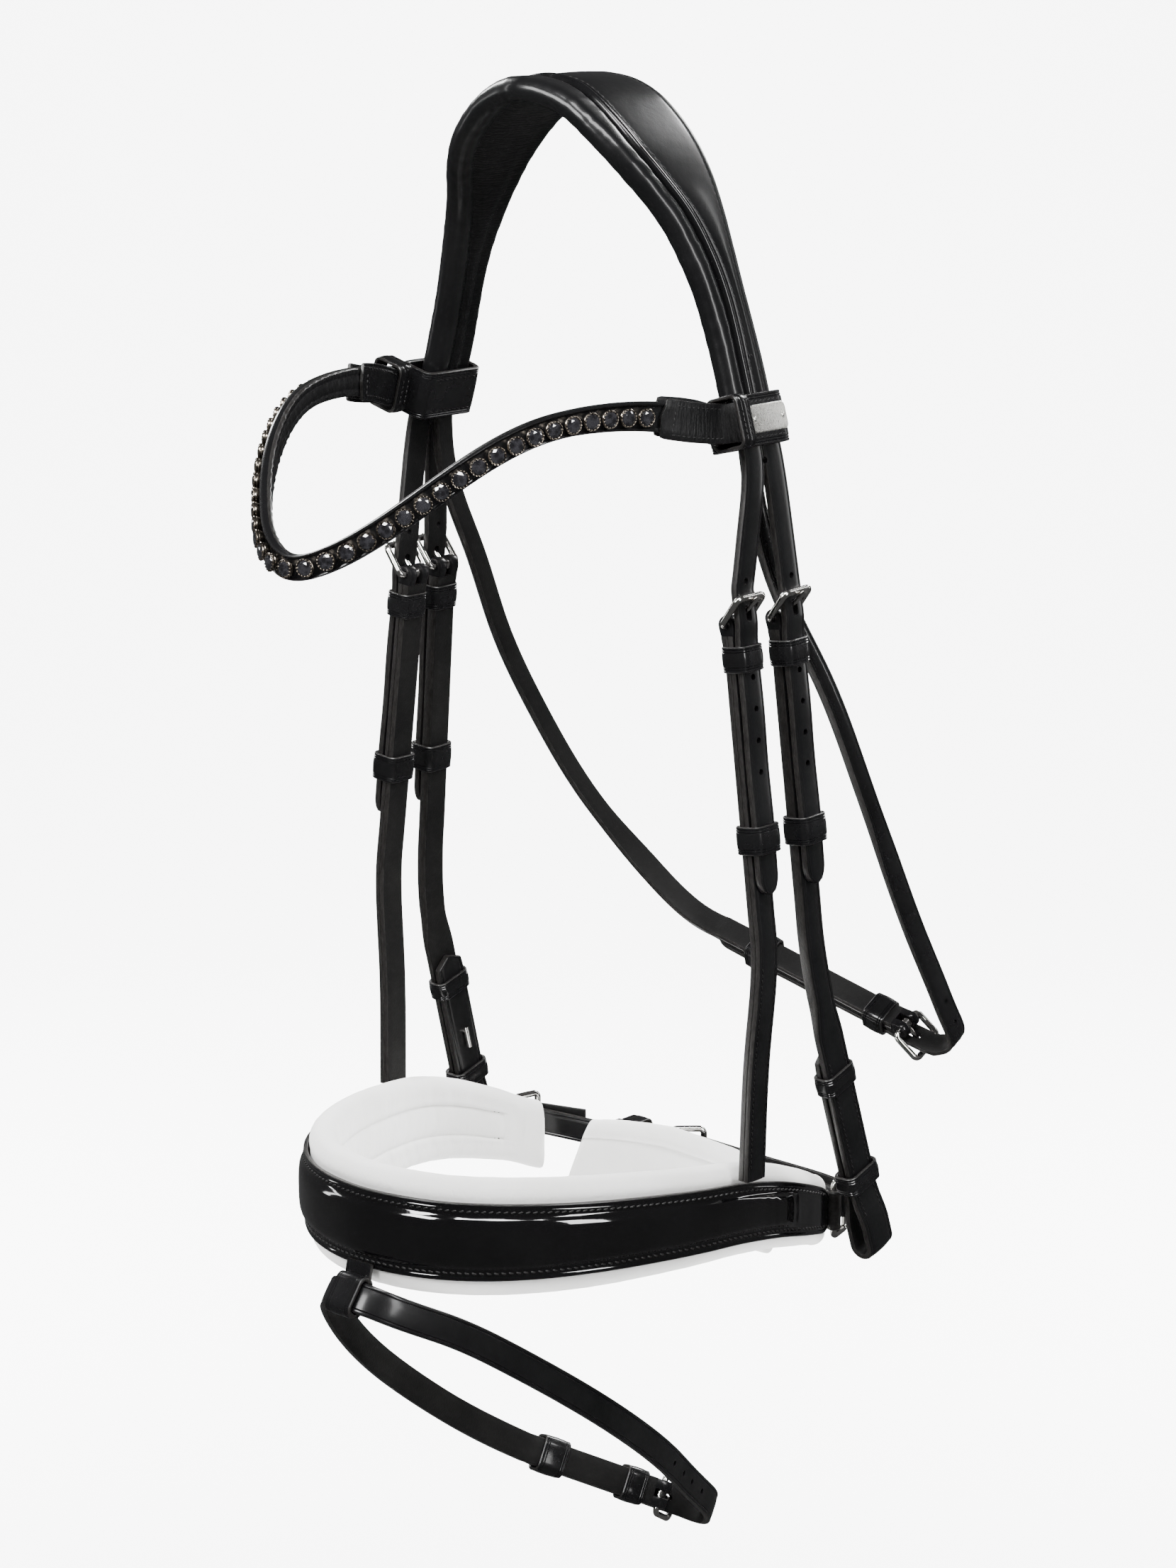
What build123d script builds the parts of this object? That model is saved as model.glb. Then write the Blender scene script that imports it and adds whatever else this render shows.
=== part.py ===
from build123d import *
from math import cos, radians, sin, tan
import os

# Snaffle bridle without bit or reins, standing as it hangs on a horse's head.
# +X is the horse's left (near) side, -Y the nose, +Z up; millimetres.
# The origin is where the poll carries the bridle: the underside of the crown at its middle.
os.makedirs("parts", exist_ok=True)

# ---------------------------------------------------------------- driving dimensions
strap_width = 12.5            # headpiece branches, hangers and cheekpieces
branch_thickness = 3.5        # single leather of a headpiece branch
crown_leather = 4.0           # top panel of the crown
crown_thickness = 11.0        # panel and padding together
sleeve_height = 22.0          # browband loop, measured along the crown
browband_width = 10.5         # along the row of stones
browband_end_width = 14.0     # where it enters its sleeves
browband_thickness = 5.0
stones_per_half = 19          # on each side of the middle stone
stone_pitch = 8.65
stone_diameter = 7.2
cup_radius = 3.9
cup_height = 2.6
noseband_leather = 4.5        # patent outer with its raised core
noseband_padding = 13.0       # white leather pad inside it
soft_gap = 0.3                # clearance between soft pieces

wire = 3.0                    # buckle wire diameter
frame_reach = 15.0            # bar centre to the centre of the frame's free end
frame_tilt = 42.0             # the free end leans out from the strap
eye_radius = 4.0              # outside of the leather eye round the bar
bar_clearance = 0.05
eye_depth = 2.6               # the sewn strap starts this far below the bar
strap_over_bar = 4.2          # inner face of the buckled strap, from the bar's centre
hole_pitch = 13.4
hole_diameter = 3.4
keeper_wall = 1.8
keeper_height = 11.0
keeper_depth = 14.5           # middle of the sewn keeper, below the buckle bar
branch_tilt = 7.0             # noseband branch leans out this much on its way down

flash_slope = 37.0            # the flash loop's plane falls back from the nose
flash_roll = 14.0             # and its near side stands higher
flash_width = 13.5
flash_tab_width = 14.0


# ---------------------------------------------------------------- shared shapes
def save(part, label):
    """Name a finished piece and write it."""
    part.label = label
    export_step(part, f"parts/{label}.step")


def mirrored(part):
    """The same piece on the horse's other side."""
    with BuildPart() as other:
        mirror(part, about=Plane.YZ)
    return other.part


def save_pair(part, name):
    """Write a piece for the near side and its mirror image for the off side."""
    off_part = mirrored(part)
    save(part, f"near_{name}")
    save(off_part, f"off_{name}")


def placed(part, frame):
    """A piece drawn in a local frame, put where that frame is."""
    with BuildPart() as there:
        with Locations(frame.location):
            add(part)
    return there.part


def planes_along(points, first_across, last_across, count):
    """Section planes on a smooth line: local x across the strap, local z along it."""
    with BuildLine() as line:
        Spline(*points)
    path = line.edges()[0]
    planes = []
    for step in range(count):
        t = step / (count - 1)
        across = Vector(*first_across) * (1 - t) + Vector(*last_across) * t
        planes.append(Plane(origin=path @ t, x_dir=across, z_dir=path % t))
    return planes


def local_planes(frame, outward, heights):
    """Section planes down a straight local frame, shifted outward from its bar."""
    return [
        Plane(
            origin=frame.from_local_coords((0, outward, height)),
            x_dir=-frame.x_dir,
            z_dir=-frame.z_dir,
        )
        for height in heights
    ]


def tapered_strap(planes, sizes, thickness, shift=0.0):
    """A strap whose width may change: a rectangle on every plane, joined by a ruled loft."""
    with BuildPart() as piece:
        for plane, width in zip(planes, sizes):
            with BuildSketch(plane):
                with Locations((0, shift)):
                    Rectangle(width, thickness)
        loft(ruled=True)
    return piece.part


def strap(planes, width, thickness):
    """A flat strap of one width."""
    return tapered_strap(planes, [width] * len(planes), thickness)


def wire_frame(inner_width, tilt, reach):
    """Wire rectangle about its bar on the local x axis; the free end leans to +Y."""
    half = inner_width / 2 + wire / 2
    lean = radians(tilt)
    leaning = Plane(origin=(0, 0, 0), x_dir=(1, 0, 0), z_dir=(0, -cos(lean), sin(lean)))
    with BuildPart() as piece:
        with BuildLine(leaning) as outline:
            FilletPolyline(
                (half, 0), (half, reach), (-half, reach), (-half, 0),
                radius=2.4, close=True,
            )
        path = outline.wires()[0]
        with BuildSketch(Plane(origin=path @ 0, z_dir=path % 0)):
            Circle(wire / 2)
        sweep(path=path)
    return piece.part


tongue_radius = 1.1
tongue_lift = 10.4            # extra lean of the tongue, which lies over the free end


def buckle_tongue():
    """Ring round the bar and a pin that lies on the free end of the frame."""
    lean = radians(frame_tilt + tongue_lift)
    along = (0, sin(lean), cos(lean))
    root = 2.1
    tip = 18.0
    with BuildPart() as piece:
        with BuildSketch(Plane.YZ):
            Circle(2.7)
            Circle(wire / 2 + bar_clearance, mode=Mode.SUBTRACT)
        extrude(amount=1.2, both=True)
        with BuildSketch(Plane(origin=(0, along[1] * root, along[2] * root), x_dir=(1, 0, 0), z_dir=along)):
            Circle(tongue_radius)
        extrude(amount=tip - root)
    return piece.part


def eye(width):
    """Leather eye of a strap's end, folded round the buckle bar."""
    with BuildPart() as piece:
        with BuildSketch(Plane.YZ):
            Circle(eye_radius)
            Circle(wire / 2 + bar_clearance, mode=Mode.SUBTRACT)
        extrude(amount=width / 2, both=True)
    return piece.part


def tongue_slot():
    """Cutter for the slot that the tongue swings in."""
    with BuildPart() as piece:
        with BuildSketch(Plane.XY.offset(-3.6)):
            Rectangle(3.6, 10)
        extrude(amount=9.0)
    return piece.part


def strap_hole(height, frame, length=hole_diameter):
    """Cutter for one hole of a buckled strap, as long as the tongue needs."""
    with BuildPart() as piece:
        with BuildSketch(Plane.XZ.offset(-12)):
            with Locations((0, height)):
                if length > hole_diameter:
                    SlotOverall(length, hole_diameter, rotation=90)
                else:
                    Circle(hole_diameter / 2)
        extrude(amount=9)
    return placed(piece.part, frame)


def keeper(frame, middle, height, inner_width, inner_back, inner_front):
    """Leather loop round a strap pair, standing square to a local frame."""
    depth = inner_front - inner_back
    with BuildPart() as piece:
        with BuildSketch(Plane.XY.offset(middle - height / 2)):
            with Locations((0, (inner_front + inner_back) / 2)):
                RectangleRounded(inner_width + 2 * keeper_wall, depth + 2 * keeper_wall, 2.0)
                Rectangle(inner_width, depth, mode=Mode.SUBTRACT)
        extrude(amount=height)
    return placed(piece.part, frame)


frame_inner_width = strap_width + 1.7
hanger_back = -2.0
hanger_front = 3.8
hanger_thickness = hanger_front - hanger_back
hanger_middle = (hanger_front + hanger_back) / 2
branch_middle = strap_over_bar + branch_thickness / 2
branch_front = strap_over_bar + branch_thickness
tongue_hole_height = 4.3
tongue_hole_length = 7.4
slide_gap = 0.5


def buckled_strap(body_part, frame, hole_heights):
    """The strap that passes through a buckle, with its row of holes."""
    with BuildPart() as piece:
        add(body_part)
        add(strap_hole(tongue_hole_height, frame, tongue_hole_length), mode=Mode.SUBTRACT)
        for height in hole_heights:
            add(strap_hole(height, frame), mode=Mode.SUBTRACT)
    return piece.part


def buckle_end(body_part, frame, width=strap_width):
    """A strap's end with its eye round the bar, slotted for the tongue."""
    with BuildPart() as piece:
        add(body_part)
        add(placed(eye(width - 0.5), frame))
        add(placed(tongue_slot(), frame), mode=Mode.SUBTRACT)
    return piece.part


def save_buckle(frame, names, pair):
    """Frame and tongue of one buckle, or of a near and off pair."""
    ring = placed(wire_frame(frame_inner_width, frame_tilt, frame_reach), frame)
    pin = placed(buckle_tongue(), frame)
    for part, name in zip((ring, pin), names):
        if pair:
            save_pair(part, name)
        else:
            save(part, name)


def fixed_keeper(frame, width=strap_width):
    """Keeper sewn to the strap just below its buckle."""
    return keeper(frame, -keeper_depth, keeper_height, width + 0.1, hanger_back, branch_front + 0.1)


def runner_keeper(frame, middle):
    """Loose keeper that slides on the strap pair."""
    return keeper(
        frame, middle, keeper_height + 1, strap_width + 2 * slide_gap,
        hanger_back - slide_gap, branch_front + slide_gap,
    )


# ---------------------------------------------------------------- crown
# Outer surface at stations from the poll down to the branches:
# side distance, height, front edge, rear edge.
crown_stations = [
    (0.0, 11.0, -21.0, 38.0),
    (13.0, 9.0, -18.5, 41.5),
    (25.0, 3.8, -16.0, 43.0),
    (36.5, -5.0, -14.0, 43.5),
    (47.0, -15.8, -10.5, 43.0),
    (56.0, -28.5, -4.0, 42.0),
    (63.5, -42.5, 4.0, 40.5),
    (70.5, -58.5, 9.5, 39.0),
    (76.5, -75.0, 13.0, 38.5),
    (81.5, -91.5, 14.8, 39.5),
    (86.3, -108.0, 15.3, 40.3),
    (90.9, -124.0, 15.3, 40.3),
    (95.5, -140.0, 15.3, 40.3),
]
leg_top = Vector(crown_stations[-3][0], 0, crown_stations[-3][1])
crown_end = Vector(crown_stations[-1][0], 0, crown_stations[-1][1])
leg_direction = (crown_end - leg_top).normalized()
leg_outward = Vector(-leg_direction.Z, 0, leg_direction.X)


def crown_planes():
    """Planes over the whole crown, off side to near side, with their widths."""
    off = [(-x, z, front, rear) for x, z, front, rear in reversed(crown_stations[1:])]
    row = off + crown_stations
    planes = []
    widths = []
    for index, (x, z, front, rear) in enumerate(row):
        before = row[max(index - 1, 0)]
        after = row[min(index + 1, len(row) - 1)]
        along = Vector(after[0] - before[0], 0, after[1] - before[1])
        planes.append(Plane(origin=(x, (front + rear) / 2, z), x_dir=(0, 1, 0), z_dir=along))
        widths.append(rear - front)
    return planes, widths


# Local y on these planes is square to the crown's surface; this is its sign into the crown.
crown_plane_list, crown_width_list = crown_planes()
crown_inward = -1.0 if crown_plane_list[len(crown_plane_list) // 2].y_dir.Z > 0 else 1.0
panel_shift = crown_inward * crown_leather / 2
crown_panel = tapered_strap(crown_plane_list, crown_width_list, crown_leather, panel_shift)
save(crown_panel, "crown_panel")
padding_gap = 0.1
padding_thickness = crown_thickness - crown_leather - padding_gap
crown_pad = tapered_strap(
    crown_plane_list[1:-1],
    [width - 2.0 for width in crown_width_list[1:-1]],
    padding_thickness,
    crown_inward * (crown_leather + padding_gap + padding_thickness / 2),
)
save(crown_pad, "crown_padding")

# ---------------------------------------------------------------- buckled drops, near side
# Each local frame: origin on the buckle bar, x forward, y out from the head, z up the strap.
noseband_drop = Plane(
    origin=(91.5, 14.0, -212.0),
    x_dir=(0, -1, 0),
    z_dir=(-sin(radians(branch_tilt)), 0, cos(radians(branch_tilt))),
)
cheek_down = Vector(0.1, 0.035, -1).normalized()
cheek_drop = Plane(origin=(96.5, 39.0, -212.0), x_dir=(0, -1, 0.035), z_dir=-cheek_down)

leather_middle = crown_end - leg_outward * (crown_leather / 2)


def branch_planes(frame, start_y, tip_depth):
    """A headpiece branch: straight from the crown's end, a gentle bend, straight through the buckle."""
    start = Vector(leather_middle.X, start_y, leather_middle.Z)
    below_crown = start + leg_direction * 9
    entry = frame.from_local_coords((0, branch_middle, 16))
    middle = (below_crown + entry) * 0.5
    bend = planes_along(
        [below_crown, middle, entry],
        (0, 1, 0), tuple(-frame.x_dir), 9,
    )
    first = Plane(origin=start, x_dir=(0, 1, 0), z_dir=leg_direction)
    rest = local_planes(frame, branch_middle, [12.0, -tip_depth])
    return [first] + bend + rest


tip_depth = 115.0
hole_heights = [tongue_hole_height - hole_pitch * n for n in range(2, 6)]

noseband_branch = buckled_strap(
    strap(branch_planes(noseband_drop, 21.5, tip_depth), strap_width, branch_thickness),
    noseband_drop, hole_heights,
)
save_pair(noseband_branch, "noseband_branch")
cheek_branch = buckled_strap(
    strap(branch_planes(cheek_drop, 34.1, tip_depth), strap_width, branch_thickness),
    cheek_drop, hole_heights,
)
save_pair(cheek_branch, "cheek_branch")

save_buckle(noseband_drop, ("noseband_buckle_frame", "noseband_buckle_tongue"), True)
save_buckle(cheek_drop, ("cheek_buckle_frame", "cheek_buckle_tongue"), True)
runner_height = -91.0          # loose keepers of the cheek straps, from the buckle bar
save_pair(fixed_keeper(noseband_drop), "noseband_fixed_keeper")
save_pair(fixed_keeper(cheek_drop), "cheek_fixed_keeper")
save_pair(runner_keeper(noseband_drop, runner_height), "noseband_runner_keeper")
save_pair(runner_keeper(cheek_drop, runner_height), "cheek_runner_keeper")

# ---------------------------------------------------------------- hangers and cheekpieces
straight_end = -125.0


def noseband_hanger():
    """Eye at the buckle, straight under the branch, then down to the noseband's top edge."""
    straight = local_planes(noseband_drop, hanger_middle, [-eye_depth, straight_end])
    leave = straight[-1].origin
    curve = planes_along(
        [leave, leave + straight[-1].z_dir * 12, Vector(107.3, 13.0, -392), Vector(105.8, 11.5, -451.6)],
        tuple(straight[-1].x_dir), (0, 1, 0), 12,
    )
    return buckle_end(strap(straight + curve[1:], strap_width, hanger_thickness), noseband_drop)


save_pair(noseband_hanger(), "noseband_hanger")

billet_width = 17.0
billet_ply = 3.4
billet_keeper_height = 9.0
billet_top = Vector(113.0, 53.5, -398.0)
billet_bottom = Vector(117.5, 84.0, -500.0)
billet_down = (billet_bottom - billet_top).normalized()
billet_out = Vector(1, 0, billet_down.X / -billet_down.Z).normalized()
billet_across = billet_out.cross(billet_down)
fold_half_gap = 4.6           # ply middle to the fold's middle, leaves room for the bit's ring
plies_half_gap = 2.0          # the same where the plies lie together at the stud
billet_length = (billet_bottom - billet_top).length


def billet_plane(depth, offset, turn=0.0):
    """A section plane of the billet: depth down from its top, offset out from its middle."""
    direction = billet_down * cos(radians(turn)) - billet_out * sin(radians(turn))
    origin = billet_top + billet_down * depth + billet_out * offset
    return Plane(origin=origin, x_dir=billet_across, z_dir=direction)


def cheekpiece():
    """Eye at the buckle, cheek strap, then the billet that folds up behind itself."""
    straight = local_planes(cheek_drop, hanger_middle, [-eye_depth, straight_end])
    leave = straight[-1].origin
    outer_ply = billet_plane(0, plies_half_gap)
    curve = planes_along(
        [leave, leave + straight[-1].z_dir * 14, outer_ply.origin - billet_down * 16, outer_ply.origin],
        tuple(straight[-1].x_dir), tuple(outer_ply.x_dir), 9,
    )
    down = [billet_plane(76, plies_half_gap), billet_plane(92, fold_half_gap)]
    fold = [
        billet_plane(
            billet_length - fold_half_gap + fold_half_gap * sin(radians(turn)),
            fold_half_gap * cos(radians(turn)),
            turn,
        )
        for turn in range(0, 181, 15)
    ]
    up = [
        billet_plane(92, -fold_half_gap, 180),
        billet_plane(76, -plies_half_gap, 180),
        billet_plane(2, -plies_half_gap, 180),
    ]
    narrow = straight + curve[1:-2]
    wide = [outer_ply] + down + fold + up
    with BuildPart() as piece:
        for plane in narrow:
            with BuildSketch(plane):
                Rectangle(strap_width, hanger_thickness)
        for plane in wide:
            with BuildSketch(plane):
                Rectangle(billet_width, billet_ply)
        loft(ruled=True)
        window = Plane(
            origin=billet_plane(stud_slot_depth, -plies_half_gap).origin,
            x_dir=billet_across,
            z_dir=billet_out,
        )
        with BuildSketch(window.offset(-1.9)):
            SlotOverall(stud_slot_length, stud_slot_width, rotation=90)
        extrude(amount=3.8, mode=Mode.SUBTRACT)
    return buckle_end(piece.part, cheek_drop)


stud_slot_depth = 50.0
stud_slot_length = 18.0
stud_slot_width = 4.6
stud_depth = 44.0
save_pair(cheekpiece(), "cheekpiece")

# local frame of the billet: x forward, y out from the head, z up
billet_frame = Plane(origin=billet_top, x_dir=-billet_across, z_dir=-billet_down)


def hook_stud():
    """Base sewn between the plies, a stem through the slot and a hook lying down the strap."""
    face = plies_half_gap - billet_ply / 2
    with BuildPart() as piece:
        with BuildSketch(Plane.XZ.offset(-face)):
            with Locations((0, -stud_depth)):
                RectangleRounded(8, 10, 1.5)
        extrude(amount=2 * face - 0.1)
        with BuildSketch(Plane.XZ):
            with Locations((0, -stud_depth)):
                Circle(1.5)
        extrude(amount=face + 5.4)
        with BuildSketch(Plane.XY.offset(-stud_depth - 9)):
            with Locations((0, -face - 4.9)):
                Circle(1.4)
        extrude(amount=11)
    return placed(piece.part, billet_frame)


save_pair(hook_stud(), "hook_stud")
billet_back = -plies_half_gap - billet_ply / 2
billet_front = -billet_back
save_pair(
    keeper(billet_frame, -19.0, billet_keeper_height, billet_width, billet_back, billet_front),
    "billet_fixed_keeper",
)
save_pair(
    keeper(
        billet_frame, -69.0, billet_keeper_height, billet_width + 2 * slide_gap,
        billet_back - slide_gap, billet_front + slide_gap,
    ),
    "billet_runner_keeper",
)

# ---------------------------------------------------------------- noseband
# Outer face in plan from the front middle round the near side, with height and middle level.
noseband_stations = [
    (0.0, -122.0, 35.0, -462.5),
    (20.0, -119.5, 35.0, -462.5),
    (39.0, -112.5, 34.5, -462.6),
    (56.0, -100.5, 34.0, -462.8),
    (71.0, -84.0, 33.0, -463.2),
    (84.0, -62.0, 31.5, -464.0),
    (94.0, -38.0, 30.0, -465.0),
    (101.0, -13.0, 28.5, -466.5),
    (104.5, 12.0, 27.5, -468.5),
    (105.0, 36.0, 26.0, -473.0),
    (102.5, 60.0, 24.0, -480.0),
    (97.0, 82.0, 21.0, -487.5),
]
pad_extra = [18.0, 18.0, 18.0, 18.0, 18.0, 18.0, 17.0, 16.0, 15.0, 14.0, 13.0, 13.0]


def noseband_planes():
    """Planes round the whole noseband, off side to near side, with their heights."""
    off = [(-x, y, height, level) for x, y, height, level in reversed(noseband_stations[1:])]
    row = off + noseband_stations
    planes = []
    heights = []
    for index, (x, y, height, level) in enumerate(row):
        before = row[max(index - 1, 0)]
        after = row[min(index + 1, len(row) - 1)]
        along = Vector(after[0] - before[0], after[1] - before[1], 0)
        planes.append(Plane(origin=(x, y, level), x_dir=(0, 0, 1), z_dir=along))
        heights.append(height)
    return planes, heights


nose_planes, nose_heights = noseband_planes()
middle_plane = nose_planes[len(nose_planes) // 2]
inward = 1.0 if middle_plane.y_dir.Y > 0 else -1.0
near_end = nose_planes[-1]
near_end_out = near_end.y_dir * -inward
ring_inner_height = 22.0
ring_reach = 13.0
ring_frame = Plane(
    origin=near_end.origin + near_end.z_dir * 2.6 - near_end_out * 1.3,
    x_dir=near_end.z_dir.cross(near_end_out),
    z_dir=near_end.z_dir,
)


def ring_eye():
    """Leather eye at the noseband's end, round the front bar of its ring."""
    with BuildPart() as piece:
        with BuildSketch(Plane.YZ):
            Circle(3.3)
            Circle(wire / 2 + bar_clearance, mode=Mode.SUBTRACT)
        extrude(amount=9, both=True)
    return placed(piece.part, ring_frame)


near_eye = ring_eye()
with BuildPart() as noseband_outer:
    add(tapered_strap(nose_planes, nose_heights, noseband_leather, inward * noseband_leather / 2))
    add(near_eye)
    add(mirrored(near_eye))
save(noseband_outer.part, "noseband_outer")

pad_row = list(reversed(pad_extra[1:])) + pad_extra
pad_heights = [height + extra for height, extra in zip(nose_heights, pad_row)]
pad_run_on = 13.0             # the pad reaches this far past the leather
pad_turn_in = 4.0             # and bends in by this much, under the ring
pad_end_origin = near_end.origin + near_end.z_dir * pad_run_on - near_end_out * pad_turn_in + Vector(0, 0, -4)
pad_near_end = Plane(origin=pad_end_origin, x_dir=near_end.x_dir, z_dir=near_end.z_dir)
off_end = nose_planes[0]
pad_off_end = Plane(
    origin=(-pad_end_origin.X, pad_end_origin.Y, pad_end_origin.Z),
    x_dir=off_end.x_dir,
    z_dir=off_end.z_dir,
)
noseband_pad = tapered_strap(
    [pad_off_end] + nose_planes + [pad_near_end],
    [pad_heights[0]] + pad_heights + [pad_heights[-1]],
    noseband_padding,
    inward * (noseband_leather + soft_gap + noseband_padding / 2),
)
save(noseband_pad, "noseband_padding")
save_pair(placed(wire_frame(ring_inner_height, 0.0, ring_reach), ring_frame), "noseband_ring")

# ---------------------------------------------------------------- chin strap and pad
chin_thickness = 2.6
chin_width = 12.5
chin_level = -494.0
chin_back = 115.0             # middle of the strap's inner layer, at the middle of the chin
ring_bar = ring_frame.from_local_coords((0, 0, ring_reach))
turn_radius = wire / 2 + 0.9 + chin_thickness / 2
chin_drop = Plane(
    origin=(-28.0, chin_back + chin_thickness / 2 + eye_radius + 0.1, chin_level),
    x_dir=(0, 0, -1),
    z_dir=(1, 0, 0),
)
chin_outer_middle = strap_over_bar + chin_thickness / 2


def turn_round(bar, entry, leave, sweep_angle, count):
    """Section planes of a strap turning about an upright ring bar, angles in plan."""
    planes = []
    for step in range(count):
        angle = radians(entry + sweep_angle * step / (count - 1))
        side = 1.0 if sweep_angle > 0 else -1.0
        origin = bar + Vector(cos(angle), sin(angle), 0) * turn_radius
        planes.append(Plane(origin=origin, x_dir=(0, 0, 1), z_dir=(-sin(angle) * side, cos(angle) * side, 0)))
    return planes


def chin_strap():
    """Off ring, inner layer behind the chin, round the near ring and back through the buckle."""
    off_bar = Vector(-ring_bar.X, ring_bar.Y, ring_bar.Z)
    tail = Plane(origin=(-76.0, 113.4, -490.5), x_dir=(0, 0, 1), z_dir=(-0.86, -0.5, 0))
    off_turn = turn_round(off_bar, 120, 300, 180, 9)
    inner = planes_along(
        [
            off_turn[-1].origin, Vector(-70, 104.5, -491), Vector(-38, 113.4, chin_level),
            Vector(0, chin_back, chin_level), Vector(38, 113.4, chin_level), Vector(70, 104.5, -491),
        ],
        (0, 0, 1), (0, 0, 1), 25,
    )
    near_turn = turn_round(ring_bar, -120, 60, 180, 9)
    straight = local_planes(chin_drop, chin_outer_middle, [16, -38])
    outer = planes_along(
        [near_turn[-1].origin, Vector(70, 113.6, -491), Vector(30, 123.0, chin_level), straight[0].origin],
        (0, 0, 1), (0, 0, 1), 15,
    )
    planes = [tail] + off_turn + inner[1:] + near_turn + outer[1:] + [straight[-1]]
    body = strap(planes, chin_width, chin_thickness)
    return buckled_strap(body, chin_drop, []), inner


chin, chin_inner = chin_strap()
save(chin, "chin_strap")


def chin_chape():
    """Short piece sewn on the inner layer, holding the chin buckle by its eye."""
    body = strap(local_planes(chin_drop, -0.1, [-eye_depth, -34.0]), strap_width, 7.6)
    return buckle_end(body, chin_drop)


save(chin_chape(), "chin_chape")
save_buckle(chin_drop, ("chin_buckle_frame", "chin_buckle_tongue"), False)

chin_pad_planes = chin_inner[3:20]
chin_pad_thickness = 11.0
chin_pad_level = -505.0
chin_pad_height = 52.0        # at its middle
chin_pad_taper = 16.0         # it loses half of this towards each end
chin_pad_gap = chin_thickness / 2 + soft_gap
chin_pad_inward = 1.0 if chin_pad_planes[8].y_dir.Y < 0 else -1.0
chin_pad_count = len(chin_pad_planes)
chin_pad = tapered_strap(
    [
        Plane(
            origin=plane.origin + Vector(0, 0, chin_pad_level - plane.origin.Z),
            x_dir=plane.x_dir,
            z_dir=plane.z_dir,
        )
        for plane in chin_pad_planes
    ],
    [
        chin_pad_height - chin_pad_taper * abs(index / (chin_pad_count - 1) - 0.5)
        for index in range(chin_pad_count)
    ],
    chin_pad_thickness,
    chin_pad_inward * (chin_pad_gap + chin_pad_thickness / 2),
)
save(chin_pad, "chin_pad")
chin_keeper_front = strap_over_bar + chin_thickness
save(
    keeper(
        chin_drop, -24.0, 10.0, chin_width + 2 * slide_gap,
        hanger_back - 2.2, chin_keeper_front + slide_gap,
    ),
    "chin_runner_keeper",
)

# ---------------------------------------------------------------- flash strap
# It hangs on a leather tab under the noseband's front and runs back and down in one long loop.
flash_origin = Vector(0, -127.5, -490.5)
flash_along = Vector(0, cos(radians(flash_slope)), -sin(radians(flash_slope)))
flash_across = Vector(0, sin(radians(flash_slope)), cos(radians(flash_slope)))
flash_hinge = Vector(0, -121.0, -481.3)
flash_roll_run = 50.0         # the roll builds up over this length behind the tab


def flash_point(along, aside):
    """A point of the loop: distance back from the tab, distance to the near side."""
    rise = tan(radians(flash_roll)) * min(along / flash_roll_run, 1.0)
    return flash_origin + flash_along * along + Vector(1, 0, rise) * aside


flash_toe_in = radians(30)
flash_buckle = Plane(
    origin=flash_point(268, -6),
    x_dir=-flash_across,
    z_dir=flash_along * cos(flash_toe_in) + Vector(1, 0, tan(radians(flash_roll))) * sin(flash_toe_in),
)
flash_down = local_planes(flash_buckle, hanger_middle, [-eye_depth, -72.0])
flash_off_route = [flash_down[-1].origin] + [
    flash_point(along, -aside)
    for along, aside in (
        (165, 52), (120, 52), (75, 45), (38, 34), (14, 22.5), (3, 12.5), (0, 5), (0, 0),
    )
]
flash_near_route = [
    flash_point(along, aside)
    for along, aside in (
        (0, 0), (0, 5), (3, 12.5), (14, 20), (38, 28), (80, 35), (125, 40), (172, 40), (215, 34),
        (245, 26), (268, 20.5), (284.4, 14), (290.6, 6.3),
    )
] + [flash_buckle.from_local_coords((0, branch_middle, 15))]


def flash_strap():
    """One strap: eye at the buckle, off run, through the tab, near run, back through the buckle."""
    off_run = planes_along(flash_off_route, tuple(flash_down[-1].x_dir), tuple(flash_across), 26)
    near_run = planes_along(flash_near_route, tuple(flash_across), tuple(-flash_buckle.x_dir), 60)
    tip_run = local_planes(flash_buckle, branch_middle, [12.0, -74.0])
    with BuildPart() as piece:
        for plane in flash_down:
            with BuildSketch(plane):
                Rectangle(flash_width, hanger_thickness)
        for plane in off_run[2:] + near_run[1:] + tip_run:
            with BuildSketch(plane):
                Rectangle(flash_width, branch_thickness)
        loft(ruled=True)
    return buckled_strap(buckle_end(piece.part, flash_buckle, flash_width), flash_buckle, [])


flash = flash_strap()
save(flash, "flash_strap")
flash_frame_width = flash_width + 1.7
save(placed(wire_frame(flash_frame_width, frame_tilt, frame_reach), flash_buckle), "flash_buckle_frame")
save(placed(buckle_tongue(), flash_buckle), "flash_buckle_tongue")
save(fixed_keeper(flash_buckle, flash_width), "flash_fixed_keeper")
save(
    keeper(
        flash_buckle, -58.0, 13.0, flash_width + 2 * slide_gap,
        hanger_back - slide_gap, branch_front + slide_gap,
    ),
    "flash_runner_keeper",
)


def flash_tab():
    """Leather loop round the flash strap, with the tab that hinges at the noseband's lower edge."""
    square = Plane(origin=flash_origin, x_dir=flash_across, z_dir=(1, 0, 0))
    with BuildPart() as piece:
        with BuildSketch(square.offset(-flash_tab_width / 2)):
            RectangleRounded(flash_width + 4.6, branch_thickness + 5.6, 2)
            Rectangle(flash_width + 0.4, branch_thickness + 1.6, mode=Mode.SUBTRACT)
        extrude(amount=flash_tab_width)
        with BuildSketch(Plane(origin=flash_hinge, x_dir=(1, 0, 0), z_dir=(0, 0.25, 1))):
            Rectangle(flash_tab_width, 2.4)
        extrude(amount=-3.7)
    return piece.part


save(flash_tab(), "flash_tab")

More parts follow.
